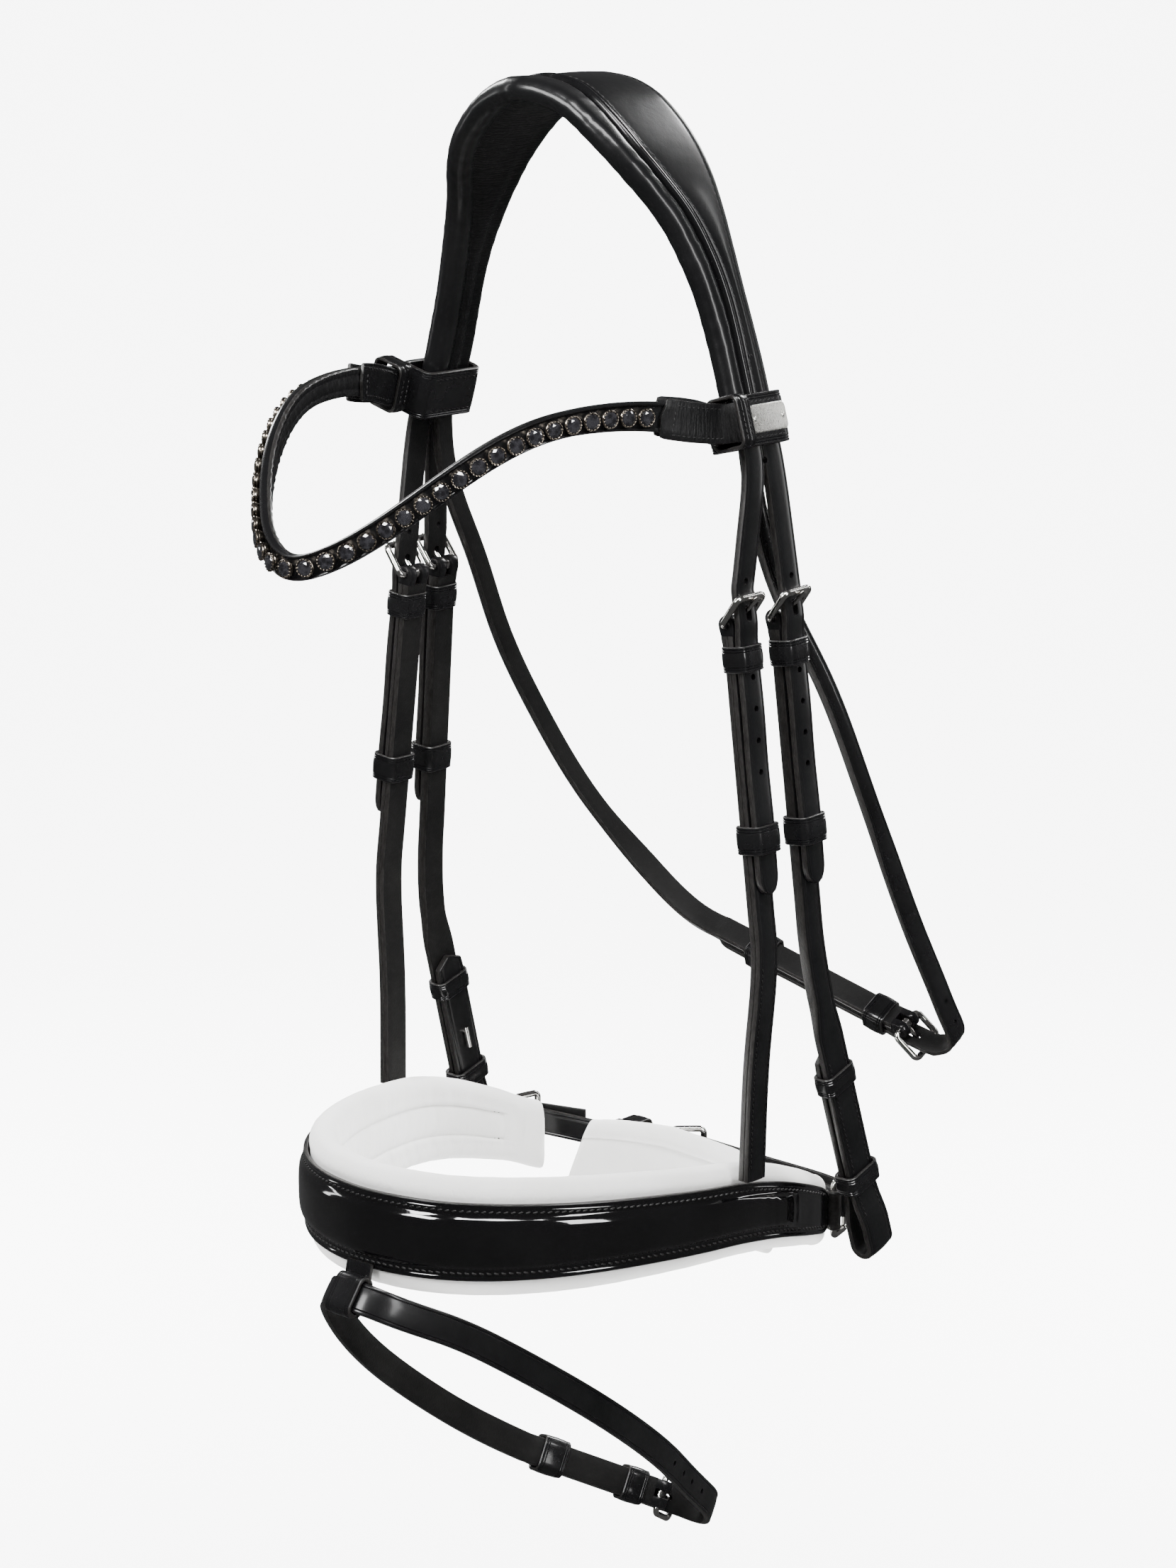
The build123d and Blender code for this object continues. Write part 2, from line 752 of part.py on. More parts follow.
# ---------------------------------------------------------------- throatlash
throat_width = 11.5
throat_frame = Plane(origin=(68.0, 174.0, -427.0), x_dir=(0, -0.83, -0.55), z_dir=(0.94, 0.09, -0.28))
throat_thickness = 5.0
throat_under = crown_leather + 0.4 + throat_thickness / 2
throat_start = crown_end - leg_outward * throat_under - leg_direction * 10 + Vector(0, 28.0, 0)
throat_long_route = [
    (-72.0, 154.0, -371.0), (-89.0, 131.0, -335.0), (-98.0, 105.0, -291.0), (-95.5, 75.0, -246.0),
    (-88.5, 50.0, -205.0), (-88.5, 32.5, -166.0), (-throat_start.X, throat_start.Y, throat_start.Z),
]
throat_short_route = [
    tuple(throat_start), (88.5, 32.5, -166.0), (88.5, 50.0, -205.0), (94.0, 72.0, -244.0),
    (95.5, 96.0, -288.0), (93.5, 122.0, -332.0), (92.0, 147.0, -374.0), (91.5, 166.0, -404.0),
]


def throatlash_long():
    """From the off side of the crown under the throat to the buckle's eye."""
    down = local_planes(throat_frame, hanger_middle, [-eye_depth, -106.0])
    points = [down[-1].origin, down[-1].origin + down[-1].z_dir * 14]
    points += [Vector(*point) for point in throat_long_route]
    run = planes_along(points, tuple(down[-1].x_dir), (0, 1, 0), 44)
    body = strap(down + run[1:], throat_width, throat_thickness)
    return buckle_end(body, throat_frame, throat_width)


def throatlash_short():
    """From the near side of the crown down, round into the buckle and back along the long strap."""
    entry = throat_frame.from_local_coords((0, branch_middle, 15))
    points = [Vector(*point) for point in throat_short_route]
    points += [Vector(91.5, 176.5, -421.0), Vector(90.3, 182.0, -432.0), entry]
    run = planes_along(points, (0, 1, 0), tuple(-throat_frame.x_dir), 60)
    tip = local_planes(throat_frame, branch_middle, [12.0, -108.0])
    return buckled_strap(strap(run + tip, throat_width, branch_thickness), throat_frame, [])


throat_long = throatlash_long()
throat_short = throatlash_short()
save(throat_long, "throatlash_long")
save(throat_short, "throatlash_short")
save_buckle(throat_frame, ("throatlash_buckle_frame", "throatlash_buckle_tongue"), False)
save(fixed_keeper(throat_frame), "throatlash_fixed_keeper")
save(runner_keeper(throat_frame, -82.0), "throatlash_runner_keeper")

# ---------------------------------------------------------------- browband
sleeve_play = 1.6             # room between the sleeve and the crown's leg
sleeve_wall = 2.5
sleeve_front = 7.0
leg_width = crown_width_list[-1]
leg_middle_y = (crown_stations[-1][2] + crown_stations[-1][3]) / 2
sleeve_centre = crown_end - leg_direction * 12.5 + Vector(0, leg_middle_y, 0)
sleeve_frame = Plane(origin=sleeve_centre, x_dir=(0, -1, 0), z_dir=-leg_direction)


def browband_sleeve():
    """Loop at the browband's end, round the leg of the crown."""
    cavity_x = leg_width + 2 * sleeve_play
    cavity_y = crown_thickness + 2 * sleeve_play
    with BuildPart() as piece:
        with BuildSketch(Plane.XY.offset(-sleeve_height / 2)):
            with Locations((sleeve_front / 2, -crown_thickness / 2)):
                RectangleRounded(cavity_x + 2 * sleeve_wall + sleeve_front, cavity_y + 2 * sleeve_wall, 3)
            with Locations((0, -crown_thickness / 2)):
                Rectangle(cavity_x, cavity_y, mode=Mode.SUBTRACT)
        extrude(amount=sleeve_height)
    return placed(piece.part, sleeve_frame)


save_pair(browband_sleeve(), "browband_sleeve")
sleeve_outer_face = sleeve_play + sleeve_wall
sleeve_edge = leg_width / 2 + sleeve_play + sleeve_wall + sleeve_front
band_start = sleeve_frame.from_local_coords((sleeve_edge + 0.2, 1.2, 0))
browband_half = [
    tuple(band_start), (92.2, -7.0, -125.6), (88.0, -21.0, -122.8), (81.5, -38.0, -120.8),
    (75.0, -58.0, -120.6), (67.5, -80.0, -123.6), (58.0, -101.0, -132.5), (45.5, -121.0, -147.0), (30.5, -137.5, -162.0),
    (15.0, -149.0, -172.5), (0.0, -153.0, -176.5),
]
browband_points = [(-x, y, z) for x, y, z in browband_half] + browband_half[-2::-1]
band_planes = planes_along(browband_points, (0, 0, 1), (0, 0, 1), 65)
taper_planes = 12             # the band narrows over this many sections from each sleeve
band_widths = []
for index in range(len(band_planes)):
    from_end = min(index, len(band_planes) - 1 - index)
    widening = max(0.0, 1 - from_end / taper_planes)
    band_widths.append(browband_width + (browband_end_width - browband_width) * widening)
browband = tapered_strap(band_planes, band_widths, browband_thickness)
save(browband, "browband_strap")

with BuildLine() as band_line:
    Spline(*browband_points)
band_path = band_line.edges()[0]
band_face = 1.0 if band_planes[32].y_dir.Y < 0 else -1.0


def stone_seats():
    """Planes on the browband's outer face, one for each stone."""
    seats = []
    middle = band_path.length / 2
    for index in range(-stones_per_half, stones_per_half + 1):
        distance = middle + index * stone_pitch
        origin = band_path.position_at(distance, position_mode=PositionMode.LENGTH)
        along = band_path.tangent_at(distance, position_mode=PositionMode.LENGTH)
        section = Plane(origin=origin, x_dir=(0, 0, 1), z_dir=along)
        out = section.y_dir * band_face
        seats.append(Plane(origin=origin + out * (browband_thickness / 2 + 0.05), x_dir=along, z_dir=out))
    return seats


seats = stone_seats()


def stone_cup():
    """Pressed metal cup with a flared rim, open at the front for the stone."""
    with BuildPart() as piece:
        with BuildSketch(Plane.XZ):
            with BuildLine():
                Polyline(
                    (0, 0), (cup_radius - 1.0, 0), (cup_radius, cup_height), (cup_radius - 0.6, cup_height),
                    (cup_radius - 1.5, 0.6), (0, 0.6), (0, 0),
                )
            make_face()
        revolve(axis=Axis.Z)
    return piece.part


def cut_stone():
    """Faceted round stone: pavilion in the cup, girdle, crown and a flat table."""
    girdle = stone_diameter / 2 - 0.8
    with BuildPart() as piece:
        for height, radius in ((0.7, 1.0), (2.3, girdle), (2.8, girdle), (3.8, 1.9)):
            with BuildSketch(Plane.XY.offset(height)):
                RegularPolygon(radius, 8)
        loft(ruled=True)
    return piece.part


def group_on(seat_list, shape):
    """The same small piece on every seat."""
    with BuildPart() as group:
        with Locations(*[seat.location for seat in seat_list]):
            add(shape)
    return group.part


save(group_on(seats, stone_cup()), "browband_stone_cups")
save(group_on(seats, cut_stone()), "browband_stones")


def side_plate():
    """Plain rounded metal plate on the outer face of the near sleeve."""
    with BuildPart() as piece:
        with BuildSketch(Plane.XZ.offset(-sleeve_outer_face)):
            with Locations((-1, 0)):
                RectangleRounded(24, 12, 2.5)
        extrude(amount=-1.2)
    return placed(piece.part, sleeve_frame)


save(side_plate(), "browband_side_plate")
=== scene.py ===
import math
import bpy
import bmesh
import numpy as np
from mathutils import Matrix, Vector


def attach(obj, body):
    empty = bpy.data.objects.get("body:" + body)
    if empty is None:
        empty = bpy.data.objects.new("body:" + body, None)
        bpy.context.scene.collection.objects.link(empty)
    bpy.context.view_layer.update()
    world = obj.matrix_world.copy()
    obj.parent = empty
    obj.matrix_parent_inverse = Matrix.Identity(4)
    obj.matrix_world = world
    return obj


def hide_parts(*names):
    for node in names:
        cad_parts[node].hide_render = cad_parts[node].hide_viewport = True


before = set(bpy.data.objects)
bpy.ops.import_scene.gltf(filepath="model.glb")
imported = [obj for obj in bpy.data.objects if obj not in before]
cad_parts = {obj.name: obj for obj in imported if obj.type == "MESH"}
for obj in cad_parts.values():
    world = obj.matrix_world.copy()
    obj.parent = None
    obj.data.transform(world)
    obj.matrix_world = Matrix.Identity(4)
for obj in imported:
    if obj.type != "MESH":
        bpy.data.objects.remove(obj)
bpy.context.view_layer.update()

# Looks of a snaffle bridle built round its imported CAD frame. Working units in this script are
# millimetres in the row frame; MM turns them into Blender's metres when a mesh is made.
MM = 0.001

# ---------------------------------------------------------------- sizes shared with the CAD model
STRAP = 12.5
BRANCH = 3.5
HANGER_BACK = -2.0
HANGER_FRONT = 3.8
OVER_BAR = 4.2
BRANCH_MIDDLE = OVER_BAR + BRANCH / 2
BRANCH_FRONT = OVER_BAR + BRANCH
HANGER_MIDDLE = (HANGER_BACK + HANGER_FRONT) / 2
HANGER_THICK = HANGER_FRONT - HANGER_BACK
HOLE_PITCH = 13.4
HOLE_RADIUS = 1.35
TONGUE_HOLE = 4.3
SLIDE_GAP = 0.5
CROWN_THICK = 11.0


# ---------------------------------------------------------------- small vector helpers
def vec(*numbers):
    return np.array(numbers, float)


def unit(v):
    v = np.asarray(v, float)
    return v / np.linalg.norm(v)


def smooth01(x):
    x = np.clip(x, 0.0, 1.0)
    return x * x * (3 - 2 * x)


def turned(degrees):
    """Cosine and sine of an angle."""
    a = math.radians(degrees)
    return math.cos(a), math.sin(a)


def round_angles(count):
    return np.arange(count) * 2 * math.pi / count


def hermite(s, a, b, c, d):
    """From a to b as s goes from 0 to 1, leaving with slope c and arriving with slope d."""
    rise = 3 * s**2 - 2 * s**3
    return a * (2 * s**3 - 3 * s**2 + 1) + c * (s**3 - 2 * s**2 + s) + b * rise + d * (s**3 - s**2)


def corners(x0, x1, y0, y1, r):
    """Points round a rectangle's corners: each arc's centre and the direction from it."""
    centres = (x1 - r, y1 - r), (x0 + r, y1 - r), (x0 + r, y0 + r), (x1 - r, y0 + r)
    return [(*c, *turned(90 * q + 15 * k)) for q, c in enumerate(centres) for k in range(7)]


class Place:
    """A local frame: x across, y out, z along, as on the CAD's planes."""

    def __init__(self, origin, x_dir, z_dir):
        self.o = vec(*origin)
        self.z = unit(z_dir)
        x = np.asarray(x_dir, float)
        self.x = unit(x - self.z * (x @ self.z))
        self.y = np.cross(self.z, self.x)

    def at(self, x, y, z):
        return self.o + self.x * x + self.y * y + self.z * z


class Rows:
    """Sections along a strap: origins, across, outward and tangent directions."""

    def __init__(self, o, a, t):
        self.o = np.asarray(o, float)
        t = np.asarray(t, float)
        self.t = t / np.linalg.norm(t, axis=1)[:, None]
        a = np.asarray(a, float)
        a = a - self.t * (a * self.t).sum(1)[:, None]
        self.a = a / np.linalg.norm(a, axis=1)[:, None]
        self.n = np.cross(self.t, self.a)

    def __len__(self):
        return len(self.o)

    def part(self, first, last):
        return Rows(self.o[first:last], self.a[first:last], self.t[first:last])

    def lengths(self):
        step = np.linalg.norm(np.diff(self.o, axis=0), axis=1)
        return np.concatenate([[0], np.cumsum(step)])

    def shifted(self, across, out):
        """The points that lie across and out from each section's middle."""
        return self.o + self.a * across + self.n * out


def curve(points, count):
    """Points and tangents of a smooth curve through the given points."""
    p = np.asarray(points, float)
    h = np.linalg.norm(np.diff(p, axis=0), axis=1)
    knots = np.concatenate([[0], np.cumsum(h)])
    n = len(p)
    slope = (p[1:] - p[:-1]) / h[:, None]
    system = np.zeros((n, n))
    right = np.zeros((n, 3))
    if n > 2:
        first = slope[0] + (slope[0] - slope[1]) * h[0] / (h[0] + h[1])
        last = slope[-1] + (slope[-1] - slope[-2]) * h[-1] / (h[-1] + h[-2])
    else:
        first = slope[0]
        last = slope[0]
    system[0, 0] = 1
    system[-1, -1] = 1
    right[0] = first
    right[-1] = last
    for i in range(1, n - 1):
        system[i, i - 1] = h[i]
        system[i, i] = 2 * (h[i - 1] + h[i])
        system[i, i + 1] = h[i - 1]
        right[i] = 3 * (h[i] * slope[i - 1] + h[i - 1] * slope[i])
    m = np.linalg.solve(system, right)
    where = np.linspace(0, knots[-1], count)
    spots = []
    tangents = []
    for x in where:
        i = min(max(int(np.searchsorted(knots, x)) - 1, 0), n - 2)
        s = (x - knots[i]) / h[i]
        a, b, c, d = p[i], p[i + 1], m[i] * h[i], m[i + 1] * h[i]
        spots.append(hermite(s, a, b, c, d))
        ends = a * (6 * s**2 - 6 * s) + c * (3 * s**2 - 4 * s + 1)
        tangents.append(ends + b * (6 * s - 6 * s**2) + d * (3 * s**2 - 2 * s))
    return np.array(spots), np.array(tangents)


def rows_along(points, first_across, last_across, count):
    o, t = curve(points, count)
    w = np.linspace(0, 1, count)[:, None]
    return Rows(o, vec(*first_across) * (1 - w) + vec(*last_across) * w, t)


def rows_straight(place, out, heights):
    return Rows(
        [place.at(0, out, h) for h in heights],
        [-place.x] * len(heights),
        [-place.z] * len(heights),
    )


def columns_at(where, known, table):
    """Each column of a table, interpolated at a place or at many."""
    return np.stack([np.interp(where, known, table[:, c]) for c in range(table.shape[1])], -1)


def join(*parts):
    return Rows(
        np.concatenate([p.o for p in parts]),
        np.concatenate([p.a for p in parts]),
        np.concatenate([p.t for p in parts]),
    )


def resample(rows, spacing):
    """The same run with sections at an even spacing."""
    s = rows.lengths()
    w = np.linspace(0, s[-1], max(int(round(s[-1] / spacing)), 2) + 1)
    return Rows(*(columns_at(w, s, q) for q in (rows.o, rows.a, rows.t)))


# ---------------------------------------------------------------- mesh collecting
class Shape:
    """Vertices in millimetres, faces with a material number, and strap coordinates."""

    def __init__(self):
        self.v = []
        self.f = []
        self.m = []
        self.lay = []

    def add(self, verts, faces, mats=None, lay=None):
        base = len(self.v)
        self.v.extend([tuple(p) for p in verts])
        self.f.extend([tuple(base + i for i in face) for face in faces])
        self.m.extend(mats if mats is not None else [0] * len(faces))
        self.lay.extend([tuple(q) for q in lay] if lay is not None else [tuple(p) for p in verts])

    def loft(self, grid, mats=None, lay=None, closed=True, caps=True, cap_mat=1):
        """A skin over rings of points, grid[row][point]."""
        rows, k = grid.shape[:2]
        span = k if closed else k - 1
        faces = []
        numbers = []
        for i in range(rows - 1):
            for j in range(span):
                faces.append((i * k + j, i * k + (j + 1) % k, (i + 1) * k + (j + 1) % k, (i + 1) * k + j))
                numbers.append(mats[j] if mats is not None else 0)
        if caps and closed:
            faces.append(tuple(range(k))[::-1])
            faces.append(tuple((rows - 1) * k + j for j in range(k)))
            numbers += [cap_mat, cap_mat]
        flat = grid.reshape(-1, 3)
        self.add(flat, faces, numbers, lay.reshape(-1, 3) if lay is not None else None)


def make(name, shape, materials, flip=False, sharp=38.0, subdivide=0):
    """A mesh object from a shape; flip mirrors it to the horse's other side."""
    v = np.array(shape.v) * MM
    lay = np.array(shape.lay) * MM
    faces = shape.f
    if flip:
        v = v * vec(-1, 1, 1)
    mesh = bpy.data.meshes.new(name)
    mesh.from_pydata(v.tolist(), [], [list(f) for f in faces])
    mesh.polygons.foreach_set("material_index", shape.m)
    for material in materials:
        mesh.materials.append(material)
    attribute = mesh.attributes.new("lay", "FLOAT_VECTOR", "POINT")
    attribute.data.foreach_set("vector", lay.ravel())
    bm = bmesh.new()
    bm.from_mesh(mesh)
    bmesh.ops.recalc_face_normals(bm, faces=bm.faces)
    bm.to_mesh(mesh)
    bm.free()
    mesh.shade_smooth()
    mesh.set_sharp_from_angle(angle=math.radians(sharp))
    piece = bpy.data.objects.new(name, mesh)
    bpy.context.scene.collection.objects.link(piece)
    if subdivide:
        modifier = piece.modifiers.new("round", "SUBSURF")
        modifier.levels = subdivide
        modifier.render_levels = subdivide
    return piece


def finish_piece(piece, body, slot, *nodes):
    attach(piece, body)
    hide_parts(*nodes)
    return piece


def single(name, shape, materials, body, slot, *nodes, sharp=38.0, subdivide=0):
    """A piece that rides on one body and stands for the named nodes."""
    return finish_piece(make(name, shape, materials, False, sharp, subdivide), body, slot, *nodes)


def both_sides(shape, name, materials, body, slot, node, sharp=38.0):
    """The near piece and its mirror image; body and node are named without their side."""
    pieces = []
    for side, flip in (("near", False), ("off", True)):
        rides = body if body in ("headpiece", "browband") else f"{side}_{body}"
        piece = make(f"{side}_{name}", shape, materials, flip, sharp)
        pieces.append(finish_piece(piece, rides, slot, f"{side}_{node}"))
    return pieces


def cut(piece, cutters):
    """Cuts shapes out of a finished mesh."""
    tool = make(piece.name + "_cutter", cutters, mats("hole"))
    modifier = piece.modifiers.new("cut", "BOOLEAN")
    modifier.operation = "DIFFERENCE"
    modifier.solver = "EXACT"
    modifier.object = tool
    bpy.context.view_layer.update()
    graph = bpy.context.evaluated_depsgraph_get()
    result = bpy.data.meshes.new_from_object(piece.evaluated_get(graph))
    piece.modifiers.remove(modifier)
    old = piece.data
    piece.data = result
    result.name = piece.name
    bpy.data.meshes.remove(old)
    bpy.data.objects.remove(tool)
    piece.data.set_sharp_from_angle(angle=math.radians(32))


# ---------------------------------------------------------------- materials
MAT = {}


class Finish:
    """One material: node helpers around its Principled shader."""

    def __init__(self, name):
        self.material = MAT[name] = bpy.data.materials.new(name)
        self.material.use_nodes = True
        self.nodes = self.material.node_tree.nodes
        self.shader = self.nodes["Principled BSDF"]

    def node(self, kind, source=None, into="Vector", **values):
        node = self.nodes.new(kind)
        for socket, value in values.items():
            node.inputs[socket.replace("_", " ")].default_value = value
        if source is not None:
            self.link(source, node.inputs[into])
        return node

    def link(self, source, target):
        self.material.node_tree.links.new(source, target)

    def place(self, scale=None, strap=False):
        """Object coordinates, or the strap's own along-across-out coordinates, in metres."""
        if strap:
            node = self.node("ShaderNodeAttribute")
            node.attribute_name = "lay"
            source = node.outputs["Vector"]
        else:
            source = self.node("ShaderNodeTexCoord").outputs["Object"]
        if scale:
            source = self.node("ShaderNodeMapping", source, Scale=scale).outputs["Vector"]
        return source

    def noise(self, source, scale, detail=4.0, roughness=0.55, distortion=0.0):
        values = {"Scale": scale, "Detail": detail, "Roughness": roughness, "Distortion": distortion}
        return self.node("ShaderNodeTexNoise", source, **values).outputs["Fac"]

    def cells(self, source, scale):
        return self.node("ShaderNodeTexVoronoi", source, Scale=scale).outputs["Distance"]

    def bump(self, height, strength, distance, below=None):
        node = self.node("ShaderNodeBump", height, "Height", Strength=strength, Distance=distance)
        if below is not None:
            self.link(below, node.inputs["Normal"])
        return node.outputs["Normal"]

    def colour(self, source, low, high):
        """Base colour between two tones."""
        node = self.node("ShaderNodeValToRGB", source, "Fac")
        for element, position, tone in zip(node.color_ramp.elements, (0.3, 0.7), (low, high)):
            element.position = position
            element.color = (*tone, 1)
        self.link(node.outputs["Color"], self.shader.inputs["Base Color"])

    def roughness(self, source, low, high):
        node = self.node("ShaderNodeMapRange", source, "Value", To_Min=low, To_Max=high)
        self.link(node.outputs["Result"], self.shader.inputs["Roughness"])

    def surface(self, normal=None, **values):
        """The shader's normal and its uniform numbers."""
        if normal is not None:
            self.link(normal, self.shader.inputs["Normal"])
        for socket, value in values.items():
            self.shader.inputs[socket.replace("_", " ")].default_value = value


def leather(name, dark, light, rough, grain, grain_depth, coat, coat_rough, streaks=False):
    """Finished hide: fine grain, soft colour drift, uneven sheen."""
    m = Finish(name)
    where = m.place()
    m.colour(m.noise(where, 26.0, 3.0), dark, light)
    m.roughness(m.noise(where, 90.0), *rough)
    normal = m.bump(m.cells(where, grain), 0.25 * grain_depth, 0.00025)
    normal = m.bump(m.noise(where, grain * 1.7, 3.0), 0.22 * grain_depth, 0.0002, normal)
    if streaks:
        lines = m.noise(m.place((900.0, 90.0, 90.0), strap=True), 1.0, 3.0, 0.6, 0.4)
        normal = m.bump(lines, 0.55, 0.0007, normal)
    else:
        normal = m.bump(m.noise(where, 140.0, 2.0), 0.12, 0.0008, normal)
    m.surface(normal, Specular_IOR_Level=0.14, Coat_Weight=coat, Coat_Roughness=coat_rough)


def cut_edge():
    """Burnished cut edge of the straps: brown-black with dragged fibres."""
    m = Finish("cut_edge")
    fibres = m.noise(m.place((260.0, 1500.0, 1500.0), strap=True), 1.0, 4.0, 0.65)
    m.colour(fibres, (0.0025, 0.0023, 0.0021), (0.014, 0.013, 0.012))
    m.roughness(fibres, 0.22, 0.5)
    normal = m.bump(fibres, 0.5, 0.0004)
    normal = m.bump(m.noise(m.place(), 1900.0, 3.0), 0.5, 0.0003, normal)
    m.surface(normal, Coat_Weight=0.35, Coat_Roughness=0.25)


def patent():
    """Patent leather: deep black under a clear wavy lacquer."""
    m = Finish("patent")
    where = m.place()
    m.colour(m.noise(where, 30.0, 2.0), (0.0012, 0.0012, 0.0014), (0.0024, 0.0024, 0.0027))
    normal = m.bump(m.noise(where, 55.0, 2.0), 0.10, 0.0016)
    normal = m.bump(m.noise(where, 420.0, 2.0), 0.05, 0.0003, normal)
    m.link(normal, m.shader.inputs["Coat Normal"])
    m.roughness(m.noise(where, 200.0), 0.05, 0.11)
    m.surface(normal, Coat_Weight=1.0, Coat_Roughness=0.02)


def nappa():
    """Soft white leather: faint wrinkles, pores and a warm shadow drift."""
    m = Finish("white_nappa")
    where = m.place()
    m.colour(m.noise(where, 22.0), (0.78, 0.775, 0.755), (0.86, 0.858, 0.845))
    wrinkle = m.noise(m.place((330.0, 120.0, 120.0), strap=True), 1.0, 5.0, 0.62, 0.9)
    puckers = m.noise(where, 160.0, 3.0, 0.6, 0.6)
    normal = m.bump(puckers, 0.30, 0.0011)
    normal = m.bump(wrinkle, 0.34, 0.0008, normal)
    normal = m.bump(m.cells(where, 1300.0), 0.12, 0.0002, normal)
    m.roughness(puckers, 0.42, 0.58)
    m.surface(normal, Specular_IOR_Level=0.4, Sheen_Weight=0.15)


def metal(name, dark, light, rough, scratch):
    """Polished metal with fine drawn scratches."""
    m = Finish(name)
    m.colour(m.noise(m.place(), 240.0, 3.0), dark, light)
    marks = m.noise(m.place((300.0, 2400.0, 900.0)), 1.0, 3.0)
    m.roughness(marks, *rough)
    m.surface(m.bump(marks, scratch, 0.0002), Metallic=1.0)


def stone():
    """Dark cut stone: near black with a strong clear surface."""
    m = Finish("cut_stone")
    where = m.place()
    m.colour(m.cells(where, 420.0), (0.004, 0.004, 0.005), (0.018, 0.018, 0.021))
    m.roughness(m.noise(where, 700.0), 0.02, 0.06)
    m.surface(IOR=2.0, Coat_Weight=1.0, Coat_Roughness=0.01)


def thread(name, dark, light, gloss):
    """Twisted waxed thread."""
    m = Finish(name)
    twist = m.noise(m.place(), 2600.0, 2.0)
    m.colour(twist, dark, light)
    m.roughness(twist, gloss, gloss + 0.2)
    m.surface(m.bump(twist, 0.5, 0.0002))


def matte(name, low, high, scale, rough, **values):
    """Plain unpolished surface."""
    m = Finish(name)
    m.colour(m.noise(m.place(), scale, 2.0), low, high)
    m.surface(Roughness=rough, **values)


HIDE_DARK = (0.0030, 0.0030, 0.0033)
leather("black_leather", HIDE_DARK, (0.0060, 0.0060, 0.0064), (0.28, 0.38), 1700.0, 0.4, 0.30, 0.16)
leather("strap_gloss", HIDE_DARK, (0.0056, 0.0056, 0.0060), (0.22, 0.32), 1900.0, 0.3, 0.44, 0.12)
leather("flesh_side", (0.0032, 0.0032, 0.0033), (0.0072, 0.0070, 0.0068), (0.5, 0.66), 1100.0, 1.0, 0.0, 0.5)
leather(
    "lining", (0.0024, 0.0024, 0.0026), (0.0050, 0.0050, 0.0053), (0.30, 0.42), 1300.0, 0.7, 0.18, 0.22,
    streaks=True,
)
cut_edge()
patent()
nappa()
metal("nickel", (0.60, 0.585, 0.56), (0.80, 0.785, 0.76), (0.10, 0.20), 0.015)
metal("plate_metal", (0.66, 0.65, 0.61), (0.78, 0.77, 0.73), (0.22, 0.34), 0.12)
metal("cup_metal", (0.10, 0.088, 0.075), (0.34, 0.30, 0.25), (0.16, 0.32), 0.03)
stone()
thread("black_thread", (0.0015, 0.0015, 0.0015), (0.006, 0.006, 0.006), 0.4)
thread("white_thread", (0.62, 0.61, 0.57), (0.82, 0.81, 0.78), 0.5)
matte("hole", (0.002, 0.002, 0.002), (0.004, 0.004, 0.004), 500.0, 0.9)


def mats(*names):
    return [MAT[name] for name in names]


BLACK = mats("black_leather", "cut_edge", "flesh_side")
GLOSS = mats("strap_gloss", "cut_edge", "flesh_side")
THREAD = mats("black_thread")


# ---------------------------------------------------------------- strap sections
def section(width, thick, raise_by=0.0, margin=1.7, crease=0.28, seam=False):
    """Outline of a strap, (across, out) points and a material number for each side.
    The outer face is at +thick/2; creased margins, an optional raised middle, rounded edges."""
    w = width / 2
    t = thick / 2
    r = min(0.75, thick * 0.22)
    low = t - raise_by
    inner = w - margin
    points = []
    mats = []

    def go(u, v, mat):
        points.append((u, v))
        mats.append(mat)

    go(-w, -t + r, 1)
    if seam:
        go(-w, -0.25, 1)
        go(-w + 0.45, 0.0, 1)
        go(-w, 0.25, 1)
    else:
        go(-w - 0.04, 0.0, 1)
    go(-w, low - r, 1)
    go(-w + 0.3 * r, low - 0.3 * r, 0)
    go(-w + r, low, 0)
    go(-inner - 0.32, low, 0)
    go(-inner, low - crease, 0)
    go(-inner + 0.42, low + raise_by * 0.30 - crease * 0.1, 0)
    for k in range(7):
        x = -1 + 2 * (k + 0.5) / 7
        go(x * (inner - 0.9), low + raise_by * (1 - 0.62 * abs(x) ** 3), 0)
    go(inner - 0.42, low + raise_by * 0.30 - crease * 0.1, 0)
    go(inner, low - crease, 0)
    go(inner + 0.32, low, 0)
    go(w - r, low, 0)
    go(w - 0.3 * r, low - 0.3 * r, 1)
    go(w, low - r, 1)
    if seam:
        go(w, 0.25, 1)
        go(w - 0.45, 0.0, 1)
        go(w, -0.25, 1)
    else:
        go(w + 0.04, 0.0, 1)
    go(w, -t + r, 1)
    go(w - 0.3 * r, -t + 0.3 * r, 2)
    go(w - r, -t, 2)
    for k in range(3):
        go((w - r) * (0.5 - 0.5 * k), -t, 2)
    go(-w + r, -t, 2)
    go(-w + 0.3 * r, -t + 0.3 * r, 1)
    return np.array(points), mats


def sweep(rows, s, outline_at, cap_mat=1):
    """A skin over sections. outline_at(i) gives points across and out, what is added outwards to
    them, how far they lean along the run, and a material number for each."""
    rings = []
    lays = []
    for i in range(len(rows)):
        u, v, raised, along, numbers = outline_at(i)
        lean = np.outer(np.broadcast_to(along, len(u)), rows.t[i])
        rings.append(rows.o[i] + lean + np.outer(u, rows.a[i]) + np.outer(v + raised, rows.n[i]))
        lays.append(np.stack([np.full(len(u), s[i]), u, v], 1))
    shape = Shape()
    shape.loft(np.array(rings), [int(m) for m in numbers], np.array(lays), cap_mat=cap_mat)
    return shape


